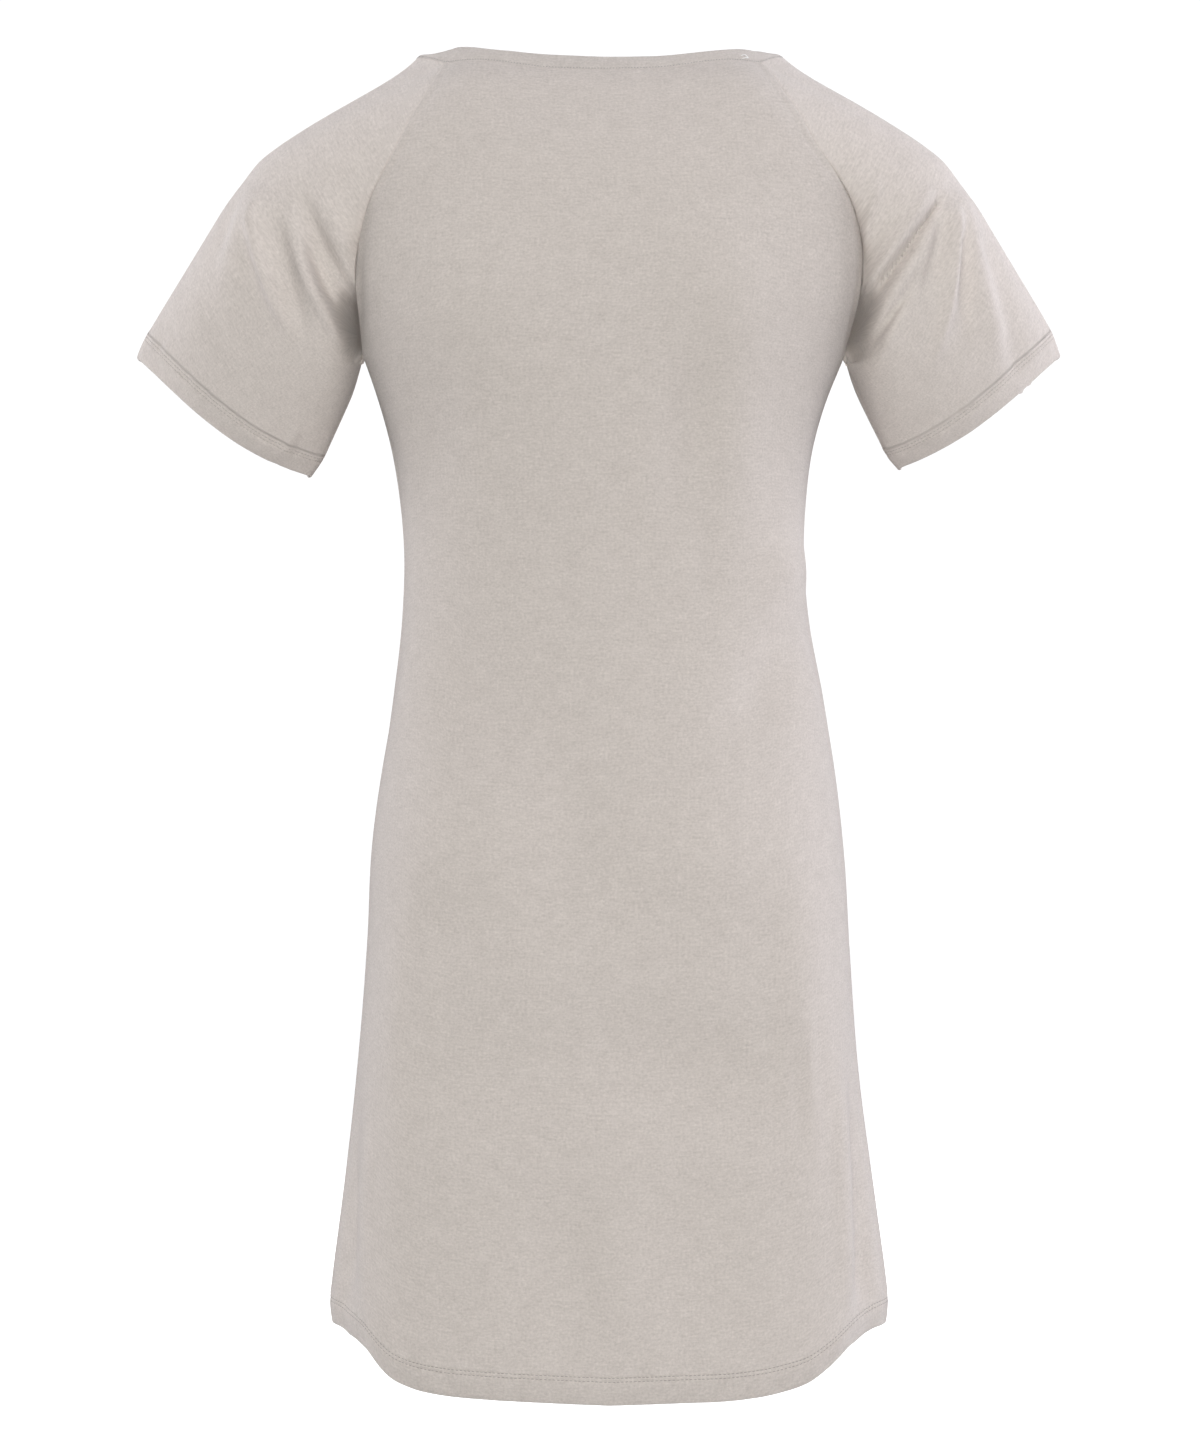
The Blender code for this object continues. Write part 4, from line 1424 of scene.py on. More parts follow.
@dataclass(frozen=True)
class Stitches:
    """A row of single stitches, or the thread that loops between two rows inside."""

    pitch: float = 2.1 * MM
    long: float = 1.65 * MM
    radius: float = 0.15 * MM
    uneven: float = 0.06
    tilt: float = 0.10
    ahead: float = 0.2 * MM
    places: tuple[float, ...] = (-0.5, -0.36, 0.0, 0.36, 0.5)
    lifts: tuple[float, ...] = (-0.16 * MM, 0.04 * MM, 0.12 * MM, 0.04 * MM, -0.16 * MM)
    thicks: tuple[float, ...] = (0.25, 0.85, 1.0, 0.85, 0.25)
    sides: int = 6

    def row(self, path: Array, outward: Array, seed: int) -> tuple[Array, Array]:
        """Stitches that lie along a path.

        Args:
            path: The points that it follows.
            outward: The directions out of the cloth there.
            seed: Which unevenness they have.

        Returns:
            The points, and the faces as four corners each.
        """
        covered = lengths_along(path)
        count = int(covered[-1] / self.pitch)
        chance = np.random.default_rng(seed)
        at = (np.arange(count) + 0.5) * covered[-1] / count
        at = at + chance.uniform(-self.uneven, self.uneven, count) * self.pitch
        centre, out = along_line(path, covered, at), along_line(outward, covered, at)
        tangent = unit(along_line(path, covered, at + self.ahead) - centre)
        out = square_to(out, tangent)
        aside = np.cross(tangent, out)
        tangent = unit(tangent + aside * chance.uniform(-self.tilt, self.tilt, count)[:, None])
        centre, tangent, out, aside = (a[:, None, None] for a in (centre, tangent, out, aside))
        theta = np.linspace(0.0, 2 * np.pi, self.sides, endpoint=False)
        place = np.array(self.places)[:, None, None] * self.long
        thick = np.array(self.thicks)[:, None] * self.radius
        rise = (np.array(self.lifts)[:, None] + thick * np.cos(theta))[..., None]
        points = centre + tangent * place + out * rise + aside * (thick * np.sin(theta))[..., None]
        rings = len(self.places)
        starts = rings * self.sides * np.arange(count)[:, None, None]
        faces = tube_faces(rings, self.sides) + starts
        return points.reshape(-1, 3), faces.reshape(-1, 4)

    def loops(self, first: Array, second: Array, step: float) -> Array:
        """The path of a thread that loops from one line to another and back.

        Args:
            first: One line of points.
            second: The other, with as many points.
            step: How far apart the loops are.

        Returns:
            The thread's points.
        """
        covered = lengths_along(first)
        count = int(covered[-1] / step)
        at = np.repeat((np.arange(count) + 0.5) * covered[-1] / count, 2)
        swing = np.tile([0.0, 1.0], count)
        at = at + np.tile([-0.2, 0.2], count) * step
        one, two = along_line(first, covered, at), along_line(second, covered, at)
        return one + (two - one) * swing[:, None]


def stitch_piece(name: str, rows: list[tuple[Array, Array]], material: Material) -> Piece:
    """One piece with all the stitches of some rows.

    Args:
        name: The piece's name.
        rows: The points and faces of each row.
        material: The thread's material.

    Returns:
        The piece.
    """
    points, faces, start = [], [], 0
    for row_points, row_faces in rows:
        points.append(row_points)
        faces.append(row_faces + start)
        start += len(row_points)
    mesh = bpy.data.meshes.new(name)
    mesh.from_pydata(np.concatenate(points).tolist(), [], np.concatenate(faces).tolist())
    piece = add_piece(name, mesh, material, STITCHES_SHARP)
    return piece


@dataclass(frozen=True)
class HemSewing:
    """The twin rows of stitches that hold a turned hem, and their loops inside."""

    name: str
    hem: Hem
    stitches: Stitches = Stitches(pitch=2.6 * MM, long=1.9 * MM, radius=0.18 * MM)
    lift: float = 0.02 * MM
    inside: float = 0.18 * MM
    loop_step: float = 2.6 * MM
    loop_radius: float = 0.13 * MM

    def build(self, shells: tuple[Shell, ...], material: Material) -> Piece:
        """Makes the stitches along one or more shells.

        Args:
            shells: The shells that have this hem.
            material: The thread's material.

        Returns:
            The piece.
        """
        made = []
        for number, shell in enumerate(shells):
            lines = []
            for row in self.hem.rows:
                index = shell.row_at(row)
                out = shell.normals[index]
                line, inner = shell.outer[index], shell.inner[index] - out * self.inside
                if shell.closed:
                    line, out, inner = joined(line), joined(out), joined(inner)
                made.append(self.stitches.row(line + out * self.lift, out, 7 * number + index))
                lines.append(inner)
            made.append(self.tube(self.stitches.loops(*lines, self.loop_step)))
        return stitch_piece(self.name, made, material)

    def tube(self, path: Array) -> tuple[Array, Array]:
        """A square thread along a path."""
        side, up = sides_of(path, LEVEL_REFERENCE)
        ring = np.stack([side, up, -side, -up], axis=1) * self.loop_radius
        return (path[:, None] + ring).reshape(-1, 3), tube_faces(len(path), 4)


@dataclass(frozen=True)
class SeamAllowance:
    """The two raw edges of a seam inside the dress, laid to one side and overlocked."""

    wide: float = 6.5 * MM
    thick: float = 1.3 * MM
    off: float = 0.05 * MM
    section: tuple[tuple[float, float], ...] = (
        (0.1, 0.12),
        (0.5, 0.12),
        (1.0, 0.12),
        (1.04, 0.5),
        (1.0, 0.9),
        (0.5, 1.0),
        (0.1, 0.9),
    )

    def strip(self, edge: Array, inward: Array, outward: Array) -> tuple[Array, Array, Array]:
        """A flat closed strip along a seam.

        Args:
            edge: The seam's points on the inner side of the cloth.
            inward: The ways along the cloth from the seam.
            outward: The ways out of the cloth.

        Returns:
            The points, the faces and the points' places on the flat cloth.
        """
        rings = np.array([
            edge + inward * self.wide * across - outward * (self.thick * depth + self.off)
            for across, depth in self.section
        ])
        count, long = rings.shape[:2]
        i, j = np.mgrid[0:count, 0 : long - 1]
        low = (i + 1) % count
        face = np.stack([i * long + j, i * long + j + 1, low * long + j + 1, low * long + j], -1)
        along = np.broadcast_to(lengths_along(edge), (count, long))
        across = np.broadcast_to(np.array(self.section)[:, :1] * self.wide, (count, long))
        grain = np.stack([across, along], axis=-1).reshape(-1, 2)
        return rings.reshape(-1, 3), face.reshape(-1, 4), grain


@dataclass(frozen=True)
class InsideSeams:
    """The overlocked seam allowances inside the dress, with their edge threads."""

    jersey: Material
    thread: Material
    allowance: SeamAllowance = SeamAllowance()
    loop_step: float = 3.0 * MM
    thread_radius: float = 0.12 * MM
    low: tuple[float, float] = (0.45, 0.12 * MM)
    high: tuple[float, float] = (1.03, 0.55)
    sides: tuple[tuple[int, int], ...] = ((0, 7), (-1, -8))
    body_end: float = 19.5 * MM
    cuff_end: float = 18.5 * MM
    side_starts: int = 10
    raglan_rows: tuple[int, int] = (3, 20)
    under_starts: int = 13
    under_further: int = 6

    def build(self, shells: dict[str, Shell], seams: RaglanSeams) -> None:
        """Lays the seam allowances inside the dress.

        Args:
            shells: The four large pieces of cloth.
            seams: The lines of the raglan seams.
        """
        back, count = shells["back_cloth"], len(seams.shares())
        rows = slice(count + self.side_starts, back.row_at(self.body_end))
        lines = [back.seam(rows, *columns) for columns in self.sides]
        self.lay("side_seam", lines)
        first, left_out = self.raglan_rows
        rows = slice(first, count - left_out)
        panels = (back, shells["front_cloth"])
        lines = [panel.seam(rows, *columns) for panel in panels for columns in self.sides]
        for name in ("left_sleeve_cloth", "right_sleeve_cloth"):
            rows = slice(self.under_starts, shells[name].row_at(self.cuff_end))
            lines.append(shells[name].seam(rows, 0, self.under_further))
        self.lay("sleeve_seam", lines)

    def lay(self, name: str, lines: list[tuple[Array, ...]]) -> None:
        """Makes the allowances along some seams, and the threads over their edges.

        Args:
            name: The first words of the pieces' names.
            lines: For each seam, its points inside the cloth, the ways along the cloth
                from it and the ways out.
        """
        strips, paths = [], []
        wide, thick = self.allowance.wide, self.allowance.thick
        for edge, inward, outward in lines:
            strips.append(self.allowance.strip(edge, inward, outward))
            low = edge + inward * wide * self.low[0] - outward * (thick + self.low[1])
            high = edge + inward * wide * self.high[0] - outward * thick * self.high[1]
            paths.append(Stitches().loops(low, high, self.loop_step))
        points = np.concatenate([strip[0] for strip in strips])
        starts = np.cumsum([0] + [len(strip[0]) for strip in strips[:-1]])
        faces = np.concatenate([strip[1] + start for strip, start in zip(strips, starts)])
        mesh = bpy.data.meshes.new(name)
        mesh.from_pydata(points.tolist(), [], faces.tolist())
        grain = np.concatenate([strip[2] for strip in strips])[faces.ravel()]
        add_map(mesh, "grain", grain)
        add_map(mesh, "edge", grain + np.array([0.0, 1.0]))
        add_piece(name + "_allowances", mesh, self.jersey)
        mesh = tube_mesh(name, paths, self.thread_radius, 4)
        add_piece(name + "_overlock", mesh, self.thread)


@dataclass(frozen=True)
class ThreadEnds:
    """The two short ends of thread beside the right raglan seam at the neck."""

    place: Triple = (-0.0925, 0.046, -0.0085)
    radius: float = 0.30 * MM
    off: float = 0.15 * MM
    ends: Table = table(
        "number rise_from rise_to bow from to",
        (0, 2.0, 3.4, 0.7, -2.9, 2.6),
        (1, 1.7, 0.9, -0.4, -2.6, 3.0),
    )

    def build(self, neck: NeckLoop, binding: NeckBinding, thread: Material) -> None:
        """Adds the two ends, whose rises, bows and lengths are in millimetres.

        Args:
            neck: The line of the neck.
            binding: The neck binding.
            thread: The thread's material.
        """
        i = np.linalg.norm(neck.points - np.array(self.place), axis=1).argmin()
        along = unit(neck.points[(i + 3) % len(neck.points)] - neck.points[i])
        up, out = neck.up[i], neck.outward[i]
        start = neck.points[i] + out * (binding.proud + self.off)
        t = np.linspace(0.0, 1.0, 12)[:, None]
        arch = np.sin(np.pi * t)
        paths = []
        for _, rise0, rise1, bow, way0, way1 in self.ends.rows:
            path = start + along * (way0 + (way1 - way0) * t) * MM
            path = path + up * (rise0 + (rise1 - rise0) * t + bow * arch) * MM
            paths.append(path + out * (0.35 + 0.9 * arch**2) * MM)
        mesh = tube_mesh("thread_ends", paths, self.radius, 6)
        add_piece("neck_thread_ends", mesh, thread)


class Net:
    """Adds and links the nodes of one tree."""

    def __init__(self, tree: Tree) -> None:
        """Keeps the tree."""
        self.tree = tree

    def add(self, kind: str, **settings: object) -> Node:
        """A new node with some of its settings."""
        node = self.tree.nodes.new(kind)
        for name, value in settings.items():
            setattr(node, name, value)
        return node

    def link(self, source: Socket, target: Socket) -> None:
        """Links two sockets."""
        self.tree.links.new(source, target)

    def set(self, node: Node, values: dict[str, object]) -> None:
        """Sets the values of a node's own sockets."""
        for name, value in values.items():
            node.inputs[name].default_value = value

    def parts(self, place: Socket) -> tuple[Socket, Socket]:
        """How far aside and how far down a place is."""
        node = self.add("ShaderNodeSeparateXYZ")
        self.link(place, node.inputs[0])
        return node.outputs["X"], node.outputs["Y"]

    def mix(self, share: Socket, none: object, full: object) -> Socket:
        """A mix of two colours, each a socket or a value.

        Args:
            share: How much of the second there is.
            none: The first colour.
            full: The second colour.

        Returns:
            The mixed colour.
        """
        node = self.add("ShaderNodeMix", data_type="RGBA")
        self.link(share, node.inputs["Factor"])
        for name, colour in (("A", none), ("B", full)):
            if isinstance(colour, tuple):
                node.inputs[name].default_value = colour
            else:
                self.link(colour, node.inputs[name])
        return node.outputs["Result"]

    def bump(
        self,
        height: Socket,
        strength: float,
        distance: float,
        under: Socket | None = None,
    ) -> Socket:
        """A normal raised by a height.

        Args:
            height: The height.
            strength: How strong it is.
            distance: How high it is, in metres.
            under: Another bump's normal, on which it is laid.

        Returns:
            The normal.
        """
        node = self.add("ShaderNodeBump")
        self.set(node, {"Strength": strength, "Distance": distance})
        self.link(height, node.inputs["Height"])
        if under is not None:
            self.link(under, node.inputs["Normal"])
        return node.outputs["Normal"]

    def math(
        self,
        operation: str,
        first: Socket | float,
        second: Socket | float = 0.0,
        clamp: bool = False,
    ) -> Socket:
        """One step of arithmetic.

        Args:
            operation: The step's name.
            first: A socket or a number.
            second: A socket or a number.
            clamp: Whether the result stays between 0 and 1.

        Returns:
            The result's socket.
        """
        node = self.add("ShaderNodeMath", operation=operation, use_clamp=clamp)
        for socket, value in zip(node.inputs, (first, second)):
            if isinstance(value, (int, float)):
                socket.default_value = value
            else:
                self.link(value, socket)
        return node.outputs[0]

    def noise(self, place: Socket, scale: Triple, detail: float, roughness: float) -> Socket:
        """A noise over places stretched by a scale.

        Args:
            place: The places.
            scale: How many swells there are in a metre across and down, and a shift.
            detail: How many finer layers it has.
            roughness: How strong these are.

        Returns:
            The noise, round 0.5.
        """
        stretch = self.add("ShaderNodeVectorMath", operation="MULTIPLY_ADD")
        self.link(place, stretch.inputs[0])
        stretch.inputs[1].default_value = (scale[0], scale[1], 0.0)
        stretch.inputs[2].default_value = (0.0, 0.0, scale[2])
        noise = self.add("ShaderNodeTexNoise")
        self.set(noise, {"Scale": 1.0, "Detail": detail, "Roughness": roughness})
        self.link(stretch.outputs[0], noise.inputs["Vector"])
        return noise.outputs["Fac"]


def painted(name: str) -> tuple[Material, Net, Node]:
    """A new material, its nodes and its shader."""
    material = bpy.data.materials.new(name)
    material.use_nodes = True
    return material, Net(material.node_tree), material.node_tree.nodes["Principled BSDF"]


class EffectGroup:
    """A shader node group, built once and placed in each material with its own values."""

    NAME = ""
    PLACE = ""
    COLOURS: tuple[str, ...] = ()
    VALUES: dict[str, float] = {}
    OUTPUT = ("Height", "NodeSocketFloat")

    @classmethod
    def group(cls) -> Tree:
        """The node group, made when it is first asked for."""
        if cls.NAME in bpy.data.node_groups:
            return bpy.data.node_groups[cls.NAME]
        tree = bpy.data.node_groups.new(cls.NAME, "ShaderNodeTree")
        face = tree.interface
        face.new_socket(cls.PLACE, in_out="INPUT", socket_type="NodeSocketVector")
        for name in cls.COLOURS:
            face.new_socket(name, in_out="INPUT", socket_type="NodeSocketColor")
        for name, value in cls.VALUES.items():
            socket = face.new_socket(name, in_out="INPUT", socket_type="NodeSocketFloat")
            socket.default_value = value
        name, kind = cls.OUTPUT
        face.new_socket(name, in_out="OUTPUT", socket_type=kind)
        net = Net(tree)
        result = cls.wire(net, net.add("NodeGroupInput").outputs)
        net.link(result, net.add("NodeGroupOutput").inputs[name])
        return tree

    @classmethod
    def wire(cls, net: Net, given: Sockets) -> Socket:
        """Adds the group's nodes to its inputs, and gives the socket with the effect."""
        raise NotImplementedError


class Heather(EffectGroup):
    """The mottled colour of yarn spun from lighter and darker fibres."""

    NAME = "heather_colour"
    PLACE = "Grain"
    COLOURS = ("Light Yarn", "Dark Yarn")
    VALUES = {"Streaks": 0.55, "Wales": 0.4, "Clouds": 0.35, "Flecks": 1.15}
    OUTPUT = ("Color", "NodeSocketColor")
    NOISES = {
        "Streaks": ((120.0, 640.0, 0.0), 2.0, 0.6),
        "Wales": ((640.0, 150.0, 3.0), 2.0, 0.6),
        "Clouds": ((70.0, 85.0, 7.0), 3.0, 0.55),
        "Flecks": ((560.0, 720.0, 11.0), 2.0, 0.65),
    }

    @classmethod
    def wire(cls, net: Net, given: Sockets) -> Socket:
        """Mixes the two yarns by four noises of their own sizes."""
        total = 0.5
        for name, noise in cls.NOISES.items():
            uneven = net.math("SUBTRACT", net.noise(given["Grain"], *noise), 0.5)
            total = net.math("ADD", net.math("MULTIPLY", uneven, given[name]), total)
        total.node.use_clamp = True
        return net.mix(total, given["Dark Yarn"], given["Light Yarn"])


class Knit(EffectGroup):
    """The height of the small V-shaped loops of single jersey."""

    NAME = "jersey_knit"
    PLACE = "Grain"
    VALUES = {"Wale": 0.75 * MM, "Course": 0.55 * MM, "Fuzz": 0.35}
    SLANT = 0.6
    ROUNDNESS = 0.6
    FUZZ = ((1700.0, 1700.0, 0.0), 2.0, 0.6)

    @classmethod
    def wire(cls, net: Net, given: Sockets) -> Socket:
        """Lays slanted legs of loops in wales and courses, with fuzz over them."""
        aside, down = net.parts(given["Grain"])
        across = net.math("DIVIDE", aside, given["Wale"])
        down = net.math("DIVIDE", down, given["Course"])
        leg = net.math("MULTIPLY", net.math("PINGPONG", across, 0.5), 2.0)
        sway = net.math("ADD", down, net.math("MULTIPLY", leg, cls.SLANT))
        loop = net.math("ABSOLUTE", net.math("SINE", net.math("MULTIPLY", sway, np.pi)))
        rib = net.math("SINE", net.math("MULTIPLY", leg, np.pi))
        knit = net.math("MULTIPLY", net.math("POWER", loop, cls.ROUNDNESS), rib)
        fuzz = net.math("MULTIPLY", net.noise(given["Grain"], *cls.FUZZ), given["Fuzz"])
        return net.math("ADD", knit, fuzz)


class Pucker(EffectGroup):
    """The height of small gathers beside a row of stitches."""

    NAME = "stitch_pucker"
    PLACE = "Edge"
    VALUES = {"Row": 15.0 * MM, "Reach": 6.0 * MM, "Gathers": 260.0}
    DOWN = 60.0

    @classmethod
    def wire(cls, net: Net, given: Sockets) -> Socket:
        """Fades a noise of narrow gathers away from the row."""
        aside, down = net.parts(given["Edge"])
        away = net.math("DIVIDE", net.math("SUBTRACT", down, given["Row"]), given["Reach"])
        square = net.math("MULTIPLY", away, away)
        near = net.math("EXPONENT", net.math("MULTIPLY", square, -1.0))
        place = net.add("ShaderNodeCombineXYZ")
        net.link(net.math("MULTIPLY", aside, given["Gathers"]), place.inputs["X"])
        net.link(net.math("MULTIPLY", down, cls.DOWN), place.inputs["Y"])
        noise = net.add("ShaderNodeTexNoise")
        net.set(noise, {"Scale": 1.0, "Detail": 1.0})
        net.link(place.outputs[0], noise.inputs["Vector"])
        return net.math("MULTIPLY", noise.outputs["Fac"], near)


@dataclass(frozen=True)
class JerseyFinish:
    """Heather cotton jersey."""

    name: str
    light: Triple
    dark: Triple
    pucker_row: float = 0.015
    pucker: float = 0.8 * MM
    knit: float = 0.10 * MM
    knit_strength: float = 0.55
    roughness: float = 0.92
    specular: float = 0.2
    sheen: float = 0.22
    sheen_roughness: float = 0.5

    def material(self) -> Material:
        """Makes the material."""
        material, net, shader = painted(self.name)
        grain = net.add("ShaderNodeUVMap", uv_map="grain").outputs[0]
        edge = net.add("ShaderNodeUVMap", uv_map="edge").outputs[0]
        colour = net.add("ShaderNodeGroup", node_tree=Heather.group())
        net.set(colour, {"Light Yarn": (*self.light, 1.0), "Dark Yarn": (*self.dark, 1.0)})
        net.link(grain, colour.inputs["Grain"])
        net.link(colour.outputs["Color"], shader.inputs["Base Color"])
        knit = net.add("ShaderNodeGroup", node_tree=Knit.group())
        net.link(grain, knit.inputs["Grain"])
        pucker = net.add("ShaderNodeGroup", node_tree=Pucker.group())
        net.set(pucker, {"Row": self.pucker_row})
        net.link(edge, pucker.inputs["Edge"])
        fine = net.bump(knit.outputs["Height"], self.knit_strength, self.knit)
        gathers = net.bump(pucker.outputs["Height"], 1.0, self.pucker, under=fine)
        net.link(gathers, shader.inputs["Normal"])
        net.set(shader, {
            "Roughness": self.roughness,
            "Specular IOR Level": self.specular,
            "Sheen Weight": self.sheen,
            "Sheen Roughness": self.sheen_roughness,
        })
        return material


@dataclass(frozen=True)
class ThreadFinish:
    """Spun sewing thread."""

    name: str
    colour: Triple
    twist: float = 2600.0
    twist_strength: float = 0.4
    twist_height: float = 0.05 * MM
    shades: tuple[float, float] = (0.82, 1.12)
    spots: Triple = (900.0, 900.0, 0.0)
    roughness: float = 0.7
    sheen: float = 0.15

    def material(self) -> Material:
        """Makes the material."""
        material, net, shader = painted(self.name)
        place = net.add("ShaderNodeTexCoord").outputs["Object"]
        dark, light = ((*(min(1.0, shade * c) for c in self.colour), 1.0) for shade in self.shades)
        shade = net.mix(net.noise(place, self.spots, 2.0, 0.5), dark, light)
        net.link(shade, shader.inputs["Base Color"])
        strands = net.add("ShaderNodeTexWave", wave_type="BANDS", bands_direction="DIAGONAL")
        net.set(strands, {"Scale": self.twist})
        net.link(place, strands.inputs["Vector"])
        bump = net.bump(strands.outputs["Fac"], self.twist_strength, self.twist_height)
        net.link(bump, shader.inputs["Normal"])
        net.set(shader, {"Roughness": self.roughness, "Sheen Weight": self.sheen})
        return material


@dataclass(frozen=True)
class Lamp:
    """A large soft light that faces the dress."""

    name: str
    place: Triple
    power: float
    colour: Triple
    size: tuple[float, float] = (1.4, 2.2)
    aim: Triple = (0.0, 0.0, -0.43)

    def hang(self) -> None:
        """Hangs it."""
        light = bpy.data.lights.new(self.name, "AREA")
        light.shape = "RECTANGLE"
        light.size, light.size_y = self.size
        light.energy = self.power
        light.color = self.colour
        lamp = bpy.data.objects.new(self.name, light)
        lamp.location = self.place
        away = np.array(self.aim) - np.array(self.place)
        flat = np.hypot(away[0], away[1])
        lamp.rotation_euler = (
            np.arctan2(flat, -away[2]), 0.0, np.arctan2(away[1], away[0]) - np.pi / 2
        )
        lamp.visible_camera = False
        bpy.context.scene.collection.objects.link(lamp)


@dataclass(frozen=True)
class Studio:
    """The plain pale floor, the soft light and the camera."""

    floor: float = -1.38
    across: float = 16.0
    camera_at: Triple = (0.004, 1.6, -0.4455)
    lens: float = 60.15
    sensor: float = 36.0
    seen: float = 1.05
    ambient: float = 0.08
    lamps: tuple[Lamp, ...] = (
        Lamp("front_box", (0.0, 3.3, -0.3), 87.0, (1.0, 1.005, 0.985)),
        Lamp("top_box", (0.0, 0.4, 2.5), 34.0, (1.0, 0.99, 1.05)),
        Lamp("key_box", (-2.6, 1.2, -0.1), 10.0, (1.0, 0.97, 1.10)),
        Lamp("right_rim_box", (-2.4, -0.7, -0.1), 50.0, (1.0, 1.0, 1.06)),
        Lamp("left_rim_box", (2.4, -0.7, -0.1), 46.0, (1.0, 0.99, 1.03)),
        Lamp("far_box", (0.0, -3.3, 0.2), 50.0, (1.0, 1.0, 0.99)),
    )

    def build(self) -> None:
        """Sets up everything round the dress."""
        self.lay_floor()
        self.light_world()
        for lamp in self.lamps:
            lamp.hang()
        camera = bpy.data.cameras.new("camera")
        camera.lens = self.lens
        camera.sensor_fit = "VERTICAL"
        camera.sensor_height = camera.sensor_width = self.sensor
        camera.clip_start = 0.05
        camera.clip_end = 60.0
        view = bpy.data.objects.new("camera", camera)
        view.location = self.camera_at
        view.rotation_euler = (np.pi / 2, 0.0, np.pi)
        bpy.context.scene.collection.objects.link(view)
        bpy.context.scene.camera = view
        bpy.context.scene.view_settings.view_transform = "Standard"

    def lay_floor(self) -> None:
        """Lays the floor."""
        half = self.across / 2
        mesh = bpy.data.meshes.new("floor")
        corners = [(-half, -half), (half, -half), (half, half), (-half, half)]
        mesh.from_pydata([(x, y, self.floor) for x, y in corners], [], [(0, 1, 2, 3)])
        material, net, shader = painted("pale_floor")
        net.set(shader, {
            "Base Color": (0.3, 0.3, 0.3, 1.0),
            "Roughness": 0.9,
            "Emission Color": WHITE,
        })
        path = net.add("ShaderNodeLightPath")
        net.link(path.outputs["Is Camera Ray"], shader.inputs["Emission Strength"])
        mesh.materials.append(material)
        floor = bpy.data.objects.new("floor", mesh)
        bpy.context.scene.collection.objects.link(floor)

    def light_world(self) -> None:
        """Gives even light from all round, on white."""
        world = bpy.data.worlds.new("white")
        bpy.context.scene.world = world
        world.use_nodes = True
        net = Net(world.node_tree)
        seen = world.node_tree.nodes["Background"]
        shed = net.add("ShaderNodeBackground")
        net.set(seen, {"Color": WHITE, "Strength": self.seen})
        net.set(shed, {"Color": WHITE, "Strength": self.ambient})
        path = net.add("ShaderNodeLightPath")
        mix = net.add("ShaderNodeMixShader")
        net.link(path.outputs["Is Camera Ray"], mix.inputs[0])
        net.link(shed.outputs[0], mix.inputs[1])
        net.link(seen.outputs[0], mix.inputs[2])
        net.link(mix.outputs[0], world.node_tree.nodes["World Output"].inputs["Surface"])


BACK = DressPanel(
    face=Face.BACK,
    node="back_panel",
    name="back_cloth",
    hem=0.8635,
    folds=creases(
        Face.BACK, Push.LEVEL,
        (154, 690, 163, 780, 170, 870, 12, 12, 0.9, 0, 0, 0, 13),
        (-160, 680, -163, 780, -166, 870, 11, 12, 0.9, 0, 0, 0, 13),
    ),
    creases=creases(
        Face.BACK, Push.SQUARE,
        (-100, 610, -103, 650, -101, 700, 4.5, 0.9),
        (-118, 640, -120, 680, -122, 735, 5, 1.1, 0.4, 0.4, 0, 0.4),
        (-132, 600, -134, 650, -133, 700, 4, 0.8),
        (-109, 700, -111, 735, -110, 775, 4, 0.7),
        (46, 262, 44, 295, 47, 330, 7, -0.8),
        (12, 275, 10, 305, 13, 345, 8, -0.7),
        (-22, 262, -24, 300, -20, 338, 7, -0.7),
        (-62, 300, -64, 345, -60, 395, 9, 0.9),
        (120, 560, 124, 620, 127, 690, 7, 1, 0.4, 0.4, 0, 0.4),
        (156, 650, 160.5, 740, 162.5, 826, 5, 3.6, 0.5, 0.2, 0.4, 0.5),
        (-154.5, 640, -158.5, 735, -160, 826, 5, 5.2, 0.4, 0.2, -0.4, 0.6),
    ),
    swells=swells(
        (98, 190, 44, 56, 9, -14, 0.3),
        (-74, 182, 38, 54, 9.5, 10, 0.3),
        (-84, 270, 18, 62, 4.2, -3),
        (-52, 262, 16, 50, -4.8, -3),
        (116, 262, 22, 40, -5.2, -8),
        (82, 425, 30, 54, -10, 38),
        (-104, 420, 20, 36, -8, -34),
        (-116, 350, 16, 20, 5.2, -30),
        (100, 522, 40, 56, 8.8, 4, 0.4),
        (-64, 528, 48, 60, 11, -10, 0.45),
        (26, 480, 26, 85, -6.2, 4),
        (-48, 662, 62, 34, -10, -14),
        (68, 662, 46, 38, -5.2, 10),
        (92, 576, 34, 12, -1.6, 4),
        (-122, 600, 18, 100, 5, 3),
        (128, 620, 16, 100, 4.6, -3),
        (30, 775, 34, 50, -3.6, 6),
        (-54, 765, 30, 60, -4.2, -5),
        (-6, 790, 18, 55, 3.6, 2),
    ),
    seed=1,
)
